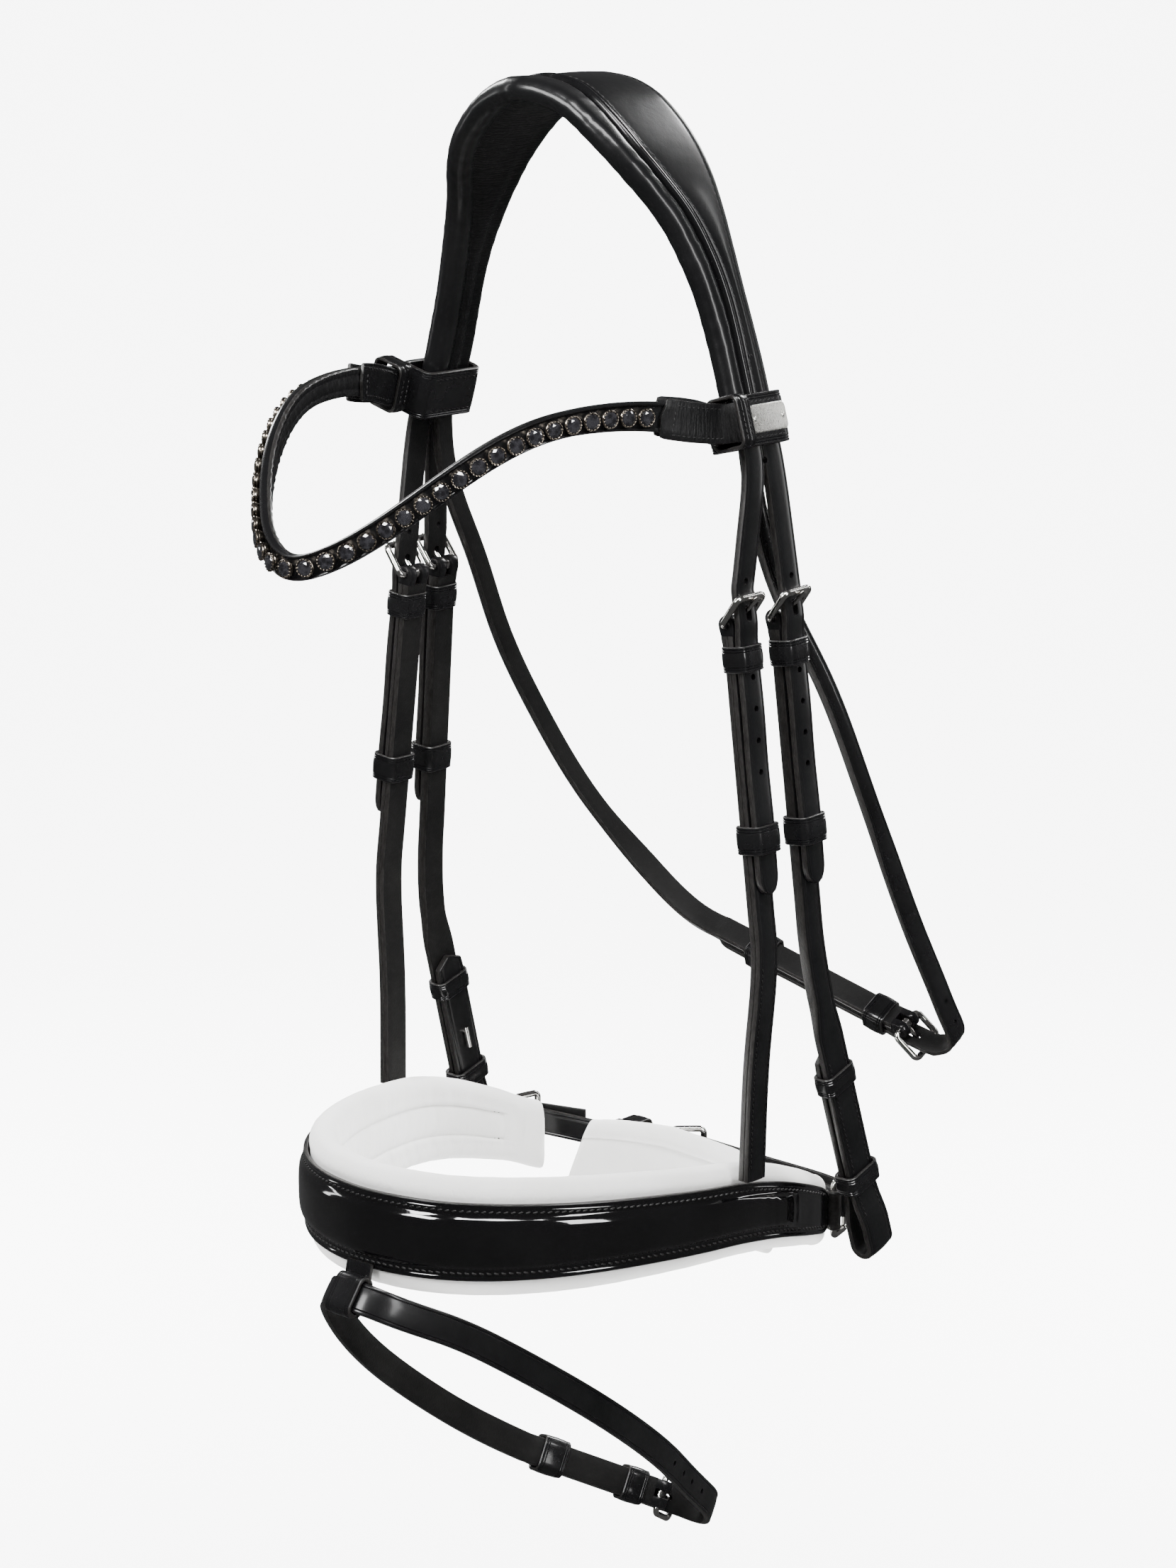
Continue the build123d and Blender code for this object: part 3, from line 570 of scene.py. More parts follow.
def strap_shape(rows, width, thick, raise_by=0.0, margin=1.7, crease=0.28, seam=False, tip=0.0):
    """A leather strap along rows. width and thick are numbers or one per row; tip rounds the end."""
    widths = np.broadcast_to(np.asarray(width, float), (len(rows),))
    thicks = np.broadcast_to(np.asarray(thick, float), (len(rows),))
    s = rows.lengths()

    def outline_at(i):
        scale = 1.0
        back = s[-1] - s[i]
        if tip and back < tip:
            scale = math.sqrt(max(1 - (1 - back / tip) ** 2, 0.0)) * 0.94 + 0.06
        outline, numbers = section(widths[i], thicks[i], raise_by, margin, crease, seam)
        return outline[:, 0] * scale, outline[:, 1], 0.0, 0.0, numbers

    return sweep(rows, s, outline_at)


def stitch_line(
    shape, points, outs, pitch=2.9, length=2.1, radius=0.28, slant=0.22, lift=0.05, mat=0, skip=0.0
):
    """A row of stitches along points, each a small spindle with a slight slant."""
    p = np.asarray(points, float)
    outs = np.asarray(outs, float)
    d = np.linalg.norm(np.diff(p, axis=0), axis=1)
    s = np.concatenate([[0], np.cumsum(d)])
    count = int((s[-1] - 2 * skip) / pitch)
    if count < 1:
        return
    for k in range(count):
        middle = skip + (k + 0.5) * pitch
        here = columns_at(middle, s, p)
        along = unit(columns_at(min(middle + 0.6, s[-1]), s, p) - columns_at(max(middle - 0.6, 0), s, p))
        out = unit(columns_at(middle, s, outs))
        side = np.cross(out, along)
        heading = unit(along + side * slant)
        across = np.cross(out, heading)
        rings = []
        for x, fat in ((-0.5, 0.25), (-0.36, 0.85), (0.0, 1.0), (0.36, 0.85), (0.5, 0.25)):
            centre = here + heading * x * length + out * (lift - (abs(x) * 2) ** 3 * radius * 1.1)
            a = round_angles(6)[:, None]
            rings.append(centre + radius * fat * (np.cos(a) * across + np.sin(a) * out))
        shape.loft(np.array(rings), [mat] * 6, cap_mat=mat)


FINE = {"pitch": 2.5, "length": 1.8, "radius": 0.2, "mat": 3}
BOLD = {"pitch": 2.4, "length": 1.7, "radius": 0.24, "mat": 3}


def strap_stitches(shape, rows, across, out, first=None, last=None, **more):
    """Stitches along a strap at a distance across and out from its middle."""
    s = rows.lengths()
    keep = np.ones(len(rows), bool)
    if first is not None:
        keep &= s >= first
    if last is not None:
        keep &= s <= last
    stitch_line(shape, rows.shifted(across, out)[keep], rows.n[keep], **more)


def hole_cutter(shape, place, height, length=0.0, low=2.0, high=12.0, radius=HOLE_RADIUS):
    """Round or oblong cutter through a strap, square to a local frame."""
    ring = []
    for k in range(20):
        angle = k * 2 * math.pi / 20
        z = radius * math.sin(angle)
        if length:
            z += math.copysign(length / 2 - radius, math.sin(angle)) if abs(math.sin(angle)) > 1e-6 else 0.0
        ring.append((radius * math.cos(angle), height + z))
    rings = [[place.at(x, y, z) for x, z in ring] for y in (low, high)]
    shape.loft(np.array(rings), [0] * 20, cap_mat=0)


def row_hole(shape, rows, distance, radius=HOLE_RADIUS):
    """Round cutter through a strap at a distance along it."""
    s = rows.lengths()
    i = int(np.argmin(abs(s - distance)))
    place = Place(rows.o[i], rows.a[i], rows.t[i])
    hole_cutter(shape, place, 0.0, 0.0, -4.0, 4.0, radius)


def keeper_shape(place, middle, height, inner_width, back, front, wall=1.5, corner=2.9, stitched=False):
    """A closed leather loop with rounded edges and two pressed lines."""
    half_w = inner_width / 2 + wall / 2
    y0 = back - wall / 2
    y1 = front + wall / 2
    r = min(corner, (y1 - y0) / 2 - 0.2)
    path = [(cx + r * u, cy + r * v, u, v) for cx, cy, u, v in corners(-half_w, half_w, y0, y1, r)]
    dense = []
    for a, b in zip(path, path[1:] + path[:1]):
        pieces = max(int(math.hypot(b[0] - a[0], b[1] - a[1]) / 1.2), 1)
        for k in range(pieces):
            dense.append([p + (q - p) * (k / pieces) for p, q in zip(a, b)])
    h = height / 2
    t = wall / 2
    g = 0.3
    edge = [(h, -t * 0.55), (h + 0.05, 0), (h, t * 0.6), (h - 0.35, t), (h - 0.95, t), (h - 1.25, t - g)]
    edge += [(h - 1.55, t + 0.03), (h - 2.0, t + 0.05), (h - 2.3, t - g * 0.8), (h - 2.6, t + 0.1)]
    edge.append((h * 0.3, t + 0.2))
    outline = [(-z, out) for z, out in edge] + [(0, t + 0.24)] + edge[::-1]
    outline += [(h - 0.35, -t), (0, -t), (-h + 0.35, -t)]
    numbers = [1, 1, 1] + [0] * 16 + [1, 1, 1, 1, 2, 2, 1]
    n = len(dense)
    k = len(outline)
    verts = []
    lay = []
    length = 0.0
    last = None
    for x, y, u, v in dense:
        if last is not None:
            length += math.hypot(x - last[0], y - last[1])
        last = (x, y)
        for z, out in outline:
            verts.append(place.at(x + u * out, y + v * out, middle + z))
            lay.append((length, z, out))
    faces = [
        (i * k + j, i * k + (j + 1) % k, ((i + 1) % n) * k + (j + 1) % k, ((i + 1) % n) * k + j)
        for i in range(n) for j in range(k)
    ]
    shape = Shape()
    shape.add(verts, faces, numbers * n, lay)
    if stitched:
        for x in (-1.6, 1.6):
            line = [place.at(x, back - wall, middle + z) for z in np.linspace(-h + 1.2, h - 1.2, 8)]
            stitch_line(shape, line, [-place.y] * 8, 2.2, 1.7, 0.22, mat=3)
    return shape


def merge(*shapes):
    total = Shape()
    for shape in shapes:
        total.add(shape.v, shape.f, shape.m, shape.lay)
    return total


# ---------------------------------------------------------------- the bridle's own frames and routes
TILT = math.radians(7.0)
nose_drop = Place((91.5, 14.0, -212.0), (0, -1, 0), (-math.sin(TILT), 0, math.cos(TILT)))
cheek_drop = Place((96.5, 39.0, -212.0), (0, -1, 0.035), -unit((0.1, 0.035, -1)))
leg = unit((9.2, 0, -32.0))
leg_out = vec(-leg[2], 0, leg[0])
crown_end = vec(95.5, 0, -140.0)
leather_middle = crown_end - leg_out * 2.0
slope = math.radians(37.0)
flash_along = vec(0, math.cos(slope), -math.sin(slope))
flash_across = vec(0, math.sin(slope), math.cos(slope))
toe_in = math.radians(30)
flash_side = vec(1, 0, math.tan(math.radians(14)))
flash_start = vec(0, -127.5, -490.5)


def flash_point(along, aside):
    rise = flash_side * vec(1, 0, min(along / 50.0, 1.0))
    return flash_start + flash_along * along + rise * aside


flash_buckle = Place(
    flash_point(268, -6), -flash_across, flash_along * math.cos(toe_in) + flash_side * math.sin(toe_in)
)
throat_frame = Place((68.0, 174.0, -427.0), (0, -0.83, -0.55), (0.94, 0.09, -0.28))
chin_drop = Place((-28.0, 120.4, -494.0), (0, 0, -1), (1, 0, 0))
MIRROR = vec(-1, 1, 1)


def mirror_place(place):
    """The same frame on the off side; x stays forward, so its hand changes."""
    other = Place((0, 0, 0), (1, 0, 0), (0, 0, 1))
    other.o = place.o * MIRROR
    other.x = place.x * MIRROR
    other.y = place.y * MIRROR
    other.z = place.z * MIRROR
    return other


# ---------------------------------------------------------------- headpiece branches
def bulge(height):
    """How far a buckled strap is pushed out where it lies over the bar."""
    return 0.7 * math.exp(-((height - 0.5) / 5.5) ** 2) + 0.18 * math.sin(height * 0.13)


def buckled_rows(place, top, tip, out=BRANCH_MIDDLE, step=1.6):
    heights = np.arange(top, -tip - 0.01, -step)
    heights[-1] = -tip
    return Rows(
        [place.at(0, out + bulge(h), h) for h in heights],
        [-place.x] * len(heights),
        [-place.z] * len(heights),
    )


def branch(place, start_y, tip):
    start_at = vec(leather_middle[0], start_y, leather_middle[2])
    below = start_at + leg * 9
    entry = place.at(0, BRANCH_MIDDLE, 16)
    bend = rows_along(
        [start_at - leg * 8, start_at + leg * 1.5, (below + entry) / 2, place.at(0, BRANCH_MIDDLE, 14.6)],
        (0, 1, 0), -place.x, 44,
    )
    rows = join(bend, buckled_rows(place, 13.0, tip))
    shape = strap_shape(resample(rows, 1.6), STRAP - 0.1, BRANCH, 0.25, 1.5, 0.3, tip=9.0)
    cutters = Shape()
    hole_cutter(cutters, place, TONGUE_HOLE, 7.4, 2.0, 13.0, 1.7)
    for n in range(2, 6):
        hole_cutter(cutters, place, TONGUE_HOLE - HOLE_PITCH * n, 0.0, 2.0, 13.0)
    hole_cutter(cutters, place, TONGUE_HOLE + HOLE_PITCH, 0.0, 2.0, 13.0)
    slit = Place(leather_middle + leg * 4.5 + vec(0, 27.8, 0), (0, 1, 0), -leg)
    hole_cutter(cutters, slit, 0.0, 0.0, -6.0, 6.0, 1.5)
    return shape, cutters


for kind, place, start_y in (("noseband", nose_drop, 21.45), ("cheek", cheek_drop, 34.15)):
    body, cutters = branch(place, start_y, 115.0)
    near, off = both_sides(
        body, f"{kind}_branch_leather", BLACK, "headpiece", "black_leather", f"{kind}_branch"
    )
    cut(near, cutters)
    cutters.v = [(-x, y, z) for x, y, z in cutters.v]
    cut(off, cutters)


# ---------------------------------------------------------------- strap ends round the buckle bars
def eye_shape(place, width, slot=3.4, bore=1.68):
    """The strap's end folded round the bar: a lug either side of the tongue, closing to the strap below."""
    ring = [(4.05 * y, 4.05 * z) for y, z in map(turned, range(0, 181, 12))]
    ring += [(-3.9, -1.6), (-3.55, -3.2), (-3.1, -4.8), (-2.7, -6.4), (-0.9, -6.5), (1.4, -6.5), (3.7, -6.4)]
    ring += [(3.95, -4.8), (4.05, -3.2), (4.08, -1.6)]
    count = len(ring)
    shape = Shape()
    for low, high in ((-width / 2, -slot / 2), (slot / 2, width / 2)):
        rings = []
        lay = []
        for x, trim in (
            (low, None), (low, 0.75), (low + 0.22, 0.22), (low + 0.75, 0), (high - 0.75, 0),
            (high - 0.22, 0.22), (high, 0.75), (high, None),
        ):
            line = []
            row = []
            for y, z in ring:
                far = math.hypot(y, z)
                r = bore if trim is None else far - trim
                line.append(place.at(x, y / far * r, z / far * r))
                row.append((math.atan2(z, y) * 4, x, r))
            rings.append(line)
            lay.append(row)
        grid = np.array(rings)
        shape.loft(grid, [0] * count, np.array(lay), caps=False)
        shape.loft(np.array([grid[-1], grid[0]]), [0] * count, caps=False)
    return shape


def hanger_top(place, end, step=2.0):
    """Rows and thicknesses from just under the bar, where the fold closes to the strap."""
    heights = np.concatenate([[-4.6, -6.0, -8.0, -10.0, -12.5], np.arange(-15.0, -end - 0.01, -step)])
    heights[-1] = -end
    close = smooth01((-heights - 4.6) / 9.0)
    front = 4.02 + (HANGER_FRONT - 4.02) * close
    back = -3.1 + (HANGER_BACK + 3.1) * close
    rows = Rows(
        [place.at(0, (f + b) / 2, h) for f, b, h in zip(front, back, heights)],
        [-place.x] * len(heights),
        [-place.z] * len(heights),
    )
    return rows, front - back


def hanger_pieces():
    top, thick = hanger_top(nose_drop, 125.0)
    leave = nose_drop.at(0, HANGER_MIDDLE, -125.0)
    lower = rows_along(
        [leave, leave - nose_drop.z * 12, (107.3, 13.0, -392.0), (105.8, 11.5, -451.6)],
        -nose_drop.x, (0, 1, 0), 46,
    )
    rows = join(top, lower.part(1, len(lower)))
    thick = np.concatenate([thick, np.full(len(lower) - 1, HANGER_THICK)])
    body = strap_shape(rows, STRAP - 0.1, thick, 0.35, 1.6, 0.28, seam=True)
    s = rows.lengths()
    for side in (-1, 1):
        for first, last in ((s[-1] - 96, s[-1] - 4), (26, 60)):
            strap_stitches(body, rows, side * 4.35, HANGER_THICK / 2 - 0.22, first, last, **FINE)
    return merge(body, eye_shape(nose_drop, STRAP - 0.5))


both_sides(
    hanger_pieces(), "noseband_hanger_leather", BLACK + THREAD,
    "headpiece", "black_leather", "noseband_hanger",
)

# ---------------------------------------------------------------- cheekpiece and its folded billet
billet_top = vec(113.0, 53.5, -398.0)
billet_bottom = vec(117.5, 84.0, -500.0)
billet_down = unit(billet_bottom - billet_top)
billet_out = unit((1, 0, billet_down[0] / -billet_down[2]))
billet_across = np.cross(billet_out, billet_down)
billet_length = np.linalg.norm(billet_bottom - billet_top)
billet = Place(billet_top, -billet_across, -billet_down)
FOLD = 4.6
PLIES = 2.0
PLY = 3.4


def billet_rows(spots):
    """Rows at (depth, offset, turn) places of the billet."""
    o = [billet_top + billet_down * d + billet_out * f for d, f, _ in spots]
    t = [billet_down * c - billet_out * s for c, s in (turned(a) for _, _, a in spots)]
    return Rows(o, [billet_across] * len(o), t)


def cheek_pieces():
    top, thick = hanger_top(cheek_drop, 125.0)
    leave = cheek_drop.at(0, HANGER_MIDDLE, -125.0)
    ply_start = billet_top + billet_out * PLIES
    lower = rows_along(
        [leave, leave - cheek_drop.z * 14, ply_start - billet_down * 16, ply_start],
        -cheek_drop.x, billet_across, 34,
    )
    spots = [(d, PLIES, 0) for d in range(4, 73, 4)]
    spots += [(76, PLIES, 4), (80, PLIES + 0.5, 8), (84, PLIES + 1.3, 9), (88, PLIES + 2.1, 6), (92, FOLD, 0)]
    low = billet_length - FOLD
    for a in range(0, 181, 12):
        c, half = turned(a)
        spots.append((low + FOLD * half, FOLD * c, a))
    spots += [(92, -FOLD, 180), (88, -PLIES - 2.1, 174), (84, -PLIES - 1.3, 171)]
    spots += [(80, -PLIES - 0.5, 172), (76, -PLIES, 176)]
    spots += [(d, -PLIES, 180) for d in range(72, 1, -4)]
    fold = billet_rows(spots)
    rows = join(top, lower.part(1, len(lower)), fold)
    lead = len(top) + len(lower) - 1
    thick = np.concatenate([thick, np.full(len(lower) - 1, HANGER_THICK), np.full(len(fold), PLY)])
    blend = smooth01((np.arange(lead) - (lead - 14)) / 12.0)
    thick[:lead] = thick[:lead] * (1 - blend) + PLY * blend
    width = np.full(len(rows), 16.8)
    grow = smooth01((np.arange(lead) - (lead - 12)) / 10.0)
    width[:lead] = (STRAP - 0.1) * (1 - grow) + 16.8 * grow
    body = strap_shape(rows, width, thick, 0.45, 1.9, 0.3, tip=6.0)
    s = rows.lengths()
    turn = s[lead]
    for side in (-1, 1):
        strap_stitches(
            body, rows, side * 5.4, PLY / 2 - 0.15, turn + 4, turn + 88,
            pitch=2.7, length=1.9, radius=0.22, mat=3,
        )
        strap_stitches(body, rows, side * 4.3, HANGER_THICK / 2 - 0.3, 26, 60, **FINE)
    return merge(body, eye_shape(cheek_drop, STRAP - 0.5))


both_sides(cheek_pieces(), "cheekpiece_leather", BLACK + THREAD, "headpiece", "black_leather", "cheekpiece")

# ---------------------------------------------------------------- keepers
KEEPER = GLOSS + THREAD


def fixed_loop(place, width=STRAP + 0.1):
    """The sewn keeper under a buckle."""
    return keeper_shape(place, -14.5, 11.0, width, HANGER_BACK, BRANCH_FRONT + 0.1)


def runner_loop(place, middle, height, width=STRAP + 2 * SLIDE_GAP, **more):
    """A loose keeper round a buckled strap."""
    back, front = HANGER_BACK - SLIDE_GAP, BRANCH_FRONT + SLIDE_GAP
    return keeper_shape(place, middle, height, width, back, front, **more)


def one_keeper(name, body, shape):
    single(f"{name}_loop", shape, KEEPER, body, "black_leather", f"{name}_keeper")


def two_keepers(name, body, shape):
    both_sides(shape, f"{name}_loop", KEEPER, body, "black_leather", f"{name}_keeper")


for kind, place in (("noseband", nose_drop), ("cheek", cheek_drop)):
    two_keepers(f"{kind}_fixed", "headpiece", fixed_loop(place))
    two_keepers(f"{kind}_runner", f"{kind}_runner", runner_loop(place, -91.0, 12.0))
for name, body, middle, play in (
    ("billet_fixed", "headpiece", -19.0, 0.0), ("billet_runner", "billet_runner", -69.0, SLIDE_GAP),
):
    reach = PLIES + PLY / 2 + play
    two_keepers(name, body, keeper_shape(billet, middle, 9.0, 17.0 + 2 * play, -reach, reach))

# ---------------------------------------------------------------- flash strap
down_rows, down_thick = hanger_top(flash_buckle, 72.0)
off_route = [flash_buckle.at(0, HANGER_MIDDLE, -72.0)] + [flash_point(s, -x) for s, x in (
    (165, 52), (120, 52), (75, 45), (38, 34), (14, 22.5), (3, 12.5), (0, 5), (0, 0),
)]
near_route = [flash_point(s, x) for s, x in (
    (0, 0), (0, 5), (3, 12.5), (14, 20), (38, 28), (80, 35), (125, 40), (172, 40), (215, 34), (245, 26),
    (268, 20.5), (284.4, 14), (290.6, 6.3),
)] + [flash_buckle.at(0, BRANCH_MIDDLE, 15)]
off_run = rows_along(off_route, -flash_buckle.x, flash_across, 90)
near_run = rows_along(near_route, flash_across, -flash_buckle.x, 190)
tip_run = buckled_rows(flash_buckle, 12.0, 74.0)
flash_rows = join(down_rows, off_run.part(3, 90), near_run.part(1, 190), tip_run)
flash_thick = np.full(len(flash_rows), BRANCH)
count = len(down_rows)
flash_thick[:count] = down_thick
fade = smooth01((np.arange(24) - 2) / 18.0)
flash_thick[count:count + 24] = HANGER_THICK * (1 - fade) + BRANCH * fade
flash_leather = strap_shape(flash_rows, 13.4, flash_thick, 0.2, 1.7, 0.3, tip=9.0)
s = flash_rows.lengths()
for side in (-1, 1):
    strap_stitches(flash_leather, flash_rows, side * 4.7, HANGER_THICK / 2 - 0.25, 18, s[count] + 12, **FINE)
flash_piece = make("flash_leather", merge(flash_leather, eye_shape(flash_buckle, 13.0)), BLACK + THREAD)
cutters = Shape()
hole_cutter(cutters, flash_buckle, TONGUE_HOLE, 7.4, 2.0, 13.0, 1.7)
bend_at = s[-1] - 74.0
for n in range(4):
    row_hole(cutters, flash_rows, bend_at - 65 - 15.0 * n)
cut(flash_piece, cutters)
finish_piece(flash_piece, "flash", "black_leather", "flash_strap")
one_keeper("flash_fixed", "flash", fixed_loop(flash_buckle, 13.6))
one_keeper("flash_runner", "flash_runner", runner_loop(flash_buckle, -58.0, 13.0, 14.5, stitched=True))
tab_place = Place(flash_start, flash_across, (1, 0, 0))
tab = keeper_shape(tab_place, 0.0, 14.0, 13.5 + 0.8, -2.7, 2.7, wall=2.0)
hinge = vec(0, -121.0, -480.5)
tab_rows = Rows(
    [hinge + vec(0, -0.25, -1) * d * 0.97 for d in (-3.0, -1.5, 0.0, 1.6, 3.2, 4.9)],
    [(1, 0, 0)] * 6, [vec(0, -0.25, -1)] * 6,
)
tab_strap = strap_shape(tab_rows, 14.0, 2.2, 0.1, 1.5, 0.2)
single("flash_tab_leather", merge(tab, tab_strap), KEEPER, "flash", "black_leather", "flash_tab")

# ---------------------------------------------------------------- throatlash
throat_start = crown_end - leg_out * 6.9 - leg * 10 + vec(0, 28.0, 0)
down_rows, down_thick = hanger_top(throat_frame, 106.0)
long_route = [down_rows.o[-1], down_rows.o[-1] - throat_frame.z * 14] + [vec(*p) for p in (
    (-72, 154, -371), (-89, 131, -335), (-98, 105, -291), (-95.5, 75, -246), (-88.5, 50, -205),
    (-88.5, 32.5, -166),
)] + [throat_start * MIRROR]
long_run = rows_along(long_route, -throat_frame.x, (0, 1, 0), 150)
short_route = [throat_start] + [vec(*p) for p in (
    (88.5, 32.5, -166), (88.5, 50, -205), (94, 72, -244), (95.5, 96, -288), (93.5, 122, -332),
    (92, 147, -374), (91.5, 166, -404), (91.5, 176.5, -421), (90.3, 182, -432),
)] + [throat_frame.at(0, BRANCH_MIDDLE, 15)]
short_run = rows_along(short_route, (0, 1, 0), -throat_frame.x, 190)
long_rows = join(down_rows, long_run.part(1, 150))
long_thick = np.concatenate([down_thick, np.full(149, 5.0)])
s = long_rows.lengths()
round_part = smooth01((s - 150) / 40.0)
long_width = 11.4 - 2.6 * round_part
long_thick = long_thick * (1 - round_part) + 5.6 * round_part
long_body = strap_shape(long_rows, long_width, long_thick, 0.8, 1.5, 0.25, seam=True)
for side in (-1, 1):
    strap_stitches(long_body, long_rows, side * 4.0, 2.2, 24, 110, **FINE)
long_body = merge(long_body, eye_shape(throat_frame, 11.0))
single("throatlash_long_leather", long_body, GLOSS + THREAD, "headpiece", "black_leather", "throatlash_long")
tip_run = buckled_rows(throat_frame, 12.0, 108.0)
short_rows = join(short_run, tip_run)
s = short_rows.lengths()
flat = smooth01((s - 190) / 50.0)
short_width = 8.8 * (1 - flat) + 11.4 * flat
short_thick = 5.0 * (1 - flat) + BRANCH * flat
short_body = strap_shape(short_rows, short_width, short_thick, 0.5, 1.5, 0.25, tip=8.0)
short_piece = make("throatlash_short_leather", short_body, GLOSS)
cutters = Shape()
hole_cutter(cutters, throat_frame, TONGUE_HOLE, 7.4, 2.0, 13.0, 1.7)
for n in (-4, -3, -2):
    row_hole(cutters, short_rows, s[-1] - 108 + 2 + 13.4 * n)
for n in (2, 3, 4):
    hole_cutter(cutters, throat_frame, TONGUE_HOLE - HOLE_PITCH * n, 0.0, 2.0, 13.0)
cut(short_piece, cutters)
finish_piece(short_piece, "headpiece", "black_leather", "throatlash_short")
one_keeper("throatlash_fixed", "headpiece", fixed_loop(throat_frame))
one_keeper("throatlash_runner", "throatlash_runner", runner_loop(throat_frame, -82.0, 12.0))

# ---------------------------------------------------------------- crown
crown_stations = [
    (0.0, 11.0, -21.0, 38.0), (13.0, 9.0, -18.5, 41.5), (25.0, 3.8, -16.0, 43.0), (36.5, -5.0, -14.0, 43.5),
    (47.0, -15.8, -10.5, 43.0), (56.0, -28.5, -4.0, 42.0), (63.5, -42.5, 4.0, 40.5), (70.5, -58.5, 9.5, 39.0),
    (76.5, -75.0, 13.0, 38.5), (81.5, -91.5, 14.8, 39.5), (86.3, -108.0, 15.3, 40.3),
    (90.9, -124.0, 15.3, 40.3), (95.5, -140.0, 15.3, 40.3),
]


def spread(stations, spacing, fields):
    """Even stations along a mirrored run; the first two columns given in fields are the path."""
    row = [(-q[0],) + tuple(q[1:]) for q in reversed(stations[1:])] + list(stations)
    row = np.array(row, float)
    path = np.stack([row[:, fields[0]], row[:, fields[1]], np.zeros(len(row))], 1)
    knots = np.concatenate([[0], np.cumsum(np.linalg.norm(np.diff(path, axis=0), axis=1))])
    fine = np.linspace(0, knots[-1], 4000)
    dense = np.array([monotone(knots, row[:, c], fine) for c in range(row.shape[1])]).T
    steps = np.linalg.norm(np.diff(dense[:, list(fields)], axis=0), axis=1)
    d = np.concatenate([[0], np.cumsum(steps)])
    want = np.linspace(0, d[-1], int(d[-1] / spacing) + 1)
    return columns_at(want, d, dense), want


def monotone(x, y, at):
    """Smooth values through given ones, without overshoot."""
    h = np.diff(x)
    d = np.diff(y) / h
    m = np.zeros(len(x))
    m[0] = d[0]
    m[-1] = d[-1]
    for i in range(1, len(x) - 1):
        m[i] = (d[i - 1] * h[i] + d[i] * h[i - 1]) / (h[i - 1] + h[i])
    i = np.clip(np.searchsorted(x, at) - 1, 0, len(h) - 1)
    s = (at - x[i]) / h[i]
    return hermite(s, y[i], y[i + 1], h[i] * m[i], h[i] * m[i + 1])


crown_table, crown_s = spread(crown_stations, 2.0, (0, 1))
crown_keep = abs(crown_table[:, 0]) < 94.2
crown_table = crown_table[crown_keep]
crown_s = crown_s[crown_keep] - crown_s[crown_keep][0]
crown_o = np.stack([crown_table[:, 0], (crown_table[:, 2] + crown_table[:, 3]) / 2, crown_table[:, 1]], 1)
crown_t = np.gradient(crown_o * vec(1, 0, 1), axis=0)
crown_rows = Rows(crown_o, [(0, 1, 0)] * len(crown_o), crown_t)
crown_width = crown_table[:, 3] - crown_table[:, 2]
down = np.abs(crown_s - crown_s[-1] / 2)
pipe_back = np.interp(down, [0, 14, 28, 58, 110, 150, 200], [24, 21, 17, 14, 13, 11.5, 11])
leg_share = smooth01((abs(crown_table[:, 0]) - 90.4) / 3.2)


def ripple(s, u, size):
    """Soft leather wrinkles as a sum of slow waves."""
    return size * (
        0.5 * np.sin(s * 0.47 + 1.3 * np.sin(u * 0.21 + 0.4)) * np.sin(s * 0.053 + 0.9)
        + 0.35 * np.sin(s * 0.93 + 2.1 * np.sin(u * 0.17 + 1.9)) * np.sin(s * 0.087 + 2.4)
        + 0.25 * np.sin(u * 0.5 + s * 0.11)
    )


def crown_outline(width, pipe, full):
    """Section of the crown: front roll, piping, top panel, rear roll and lining.
    full is 1 where it is padded and 0 on its flat legs."""
    w = width / 2
    deep = 3.8 + 7.0 * full
    r = deep / 2
    points = []

    def go(u, v, mat):
        points.append((u, v, mat))

    for k in range(9):
        c, v = turned(270 - 180 * k / 8)
        go(-w + r * 0.98 + r * c, -r + r * v, 0)
    g = -w + pipe - 2.7
    begin = -w + r * 0.98
    for share, drop in ((0.3, 0.02), (0.58, 0.12), (0.8, 0.6), (0.93, 1.5), (1.0, 2.5)):
        go(begin + (g - begin) * share, -drop * (0.35 + 0.65 * full), 0)
    c = -w + pipe
    go(c - 2.0, -2.6 * (0.4 + 0.6 * full), 1)
    for u, v in map(turned, (170, 135, 100, 65, 30, 0)):
        go(c + 1.75 * u, -1.0 + 1.75 * v, 1)
    go(c + 2.15, -1.6, 2)
    first = c + 2.7
    last = w - 0.5
    for d, v in ((0.0, -0.55), (0.7, -0.08), (1.5, -0.34), (2.4, -0.05)):
        go(first + d, v, 2)
    for share in (0.25, 0.5, 0.75):
        go(first + 2.4 + (last - 4.0 - first - 2.4) * share, 0.3 * math.sin(share * math.pi), 2)
    for d, v in ((4.0, 0.02), (3.1, -0.3), (2.3, -0.02), (0.5, -0.15)):
        go(last - d, v, 2)
    go(w, -0.8, 4)
    go(w, -2.4, 4)
    go(w - 0.9, -3.0, 3)
    rr = 0.4 + 3.2 * full
    for u, v in map(turned, (62, 25, -12, -50, -90)):
        go(w - 0.3 - rr + rr * u, -3.4 - rr + rr * v, 3)
    bottom = -deep + 0.1
    go(w - 1.4 - 2 * rr, bottom + 1.3 * full, 3)
    inner_last = w - 2.4 - 2 * rr
    inner_first = -w + 2 * r + 0.4
    for share in (0.12, 0.35, 0.65, 0.88):
        hollow = 0.5 * full * math.sin(share * math.pi)
        go(inner_last + (inner_first - inner_last) * share, bottom + 0.25 * full - hollow, 3)
    go(inner_first - 0.6, bottom + 1.6 * full, 3)
    go(inner_first - 1.6, bottom + 0.4 * full, 0)
    return np.array(points)


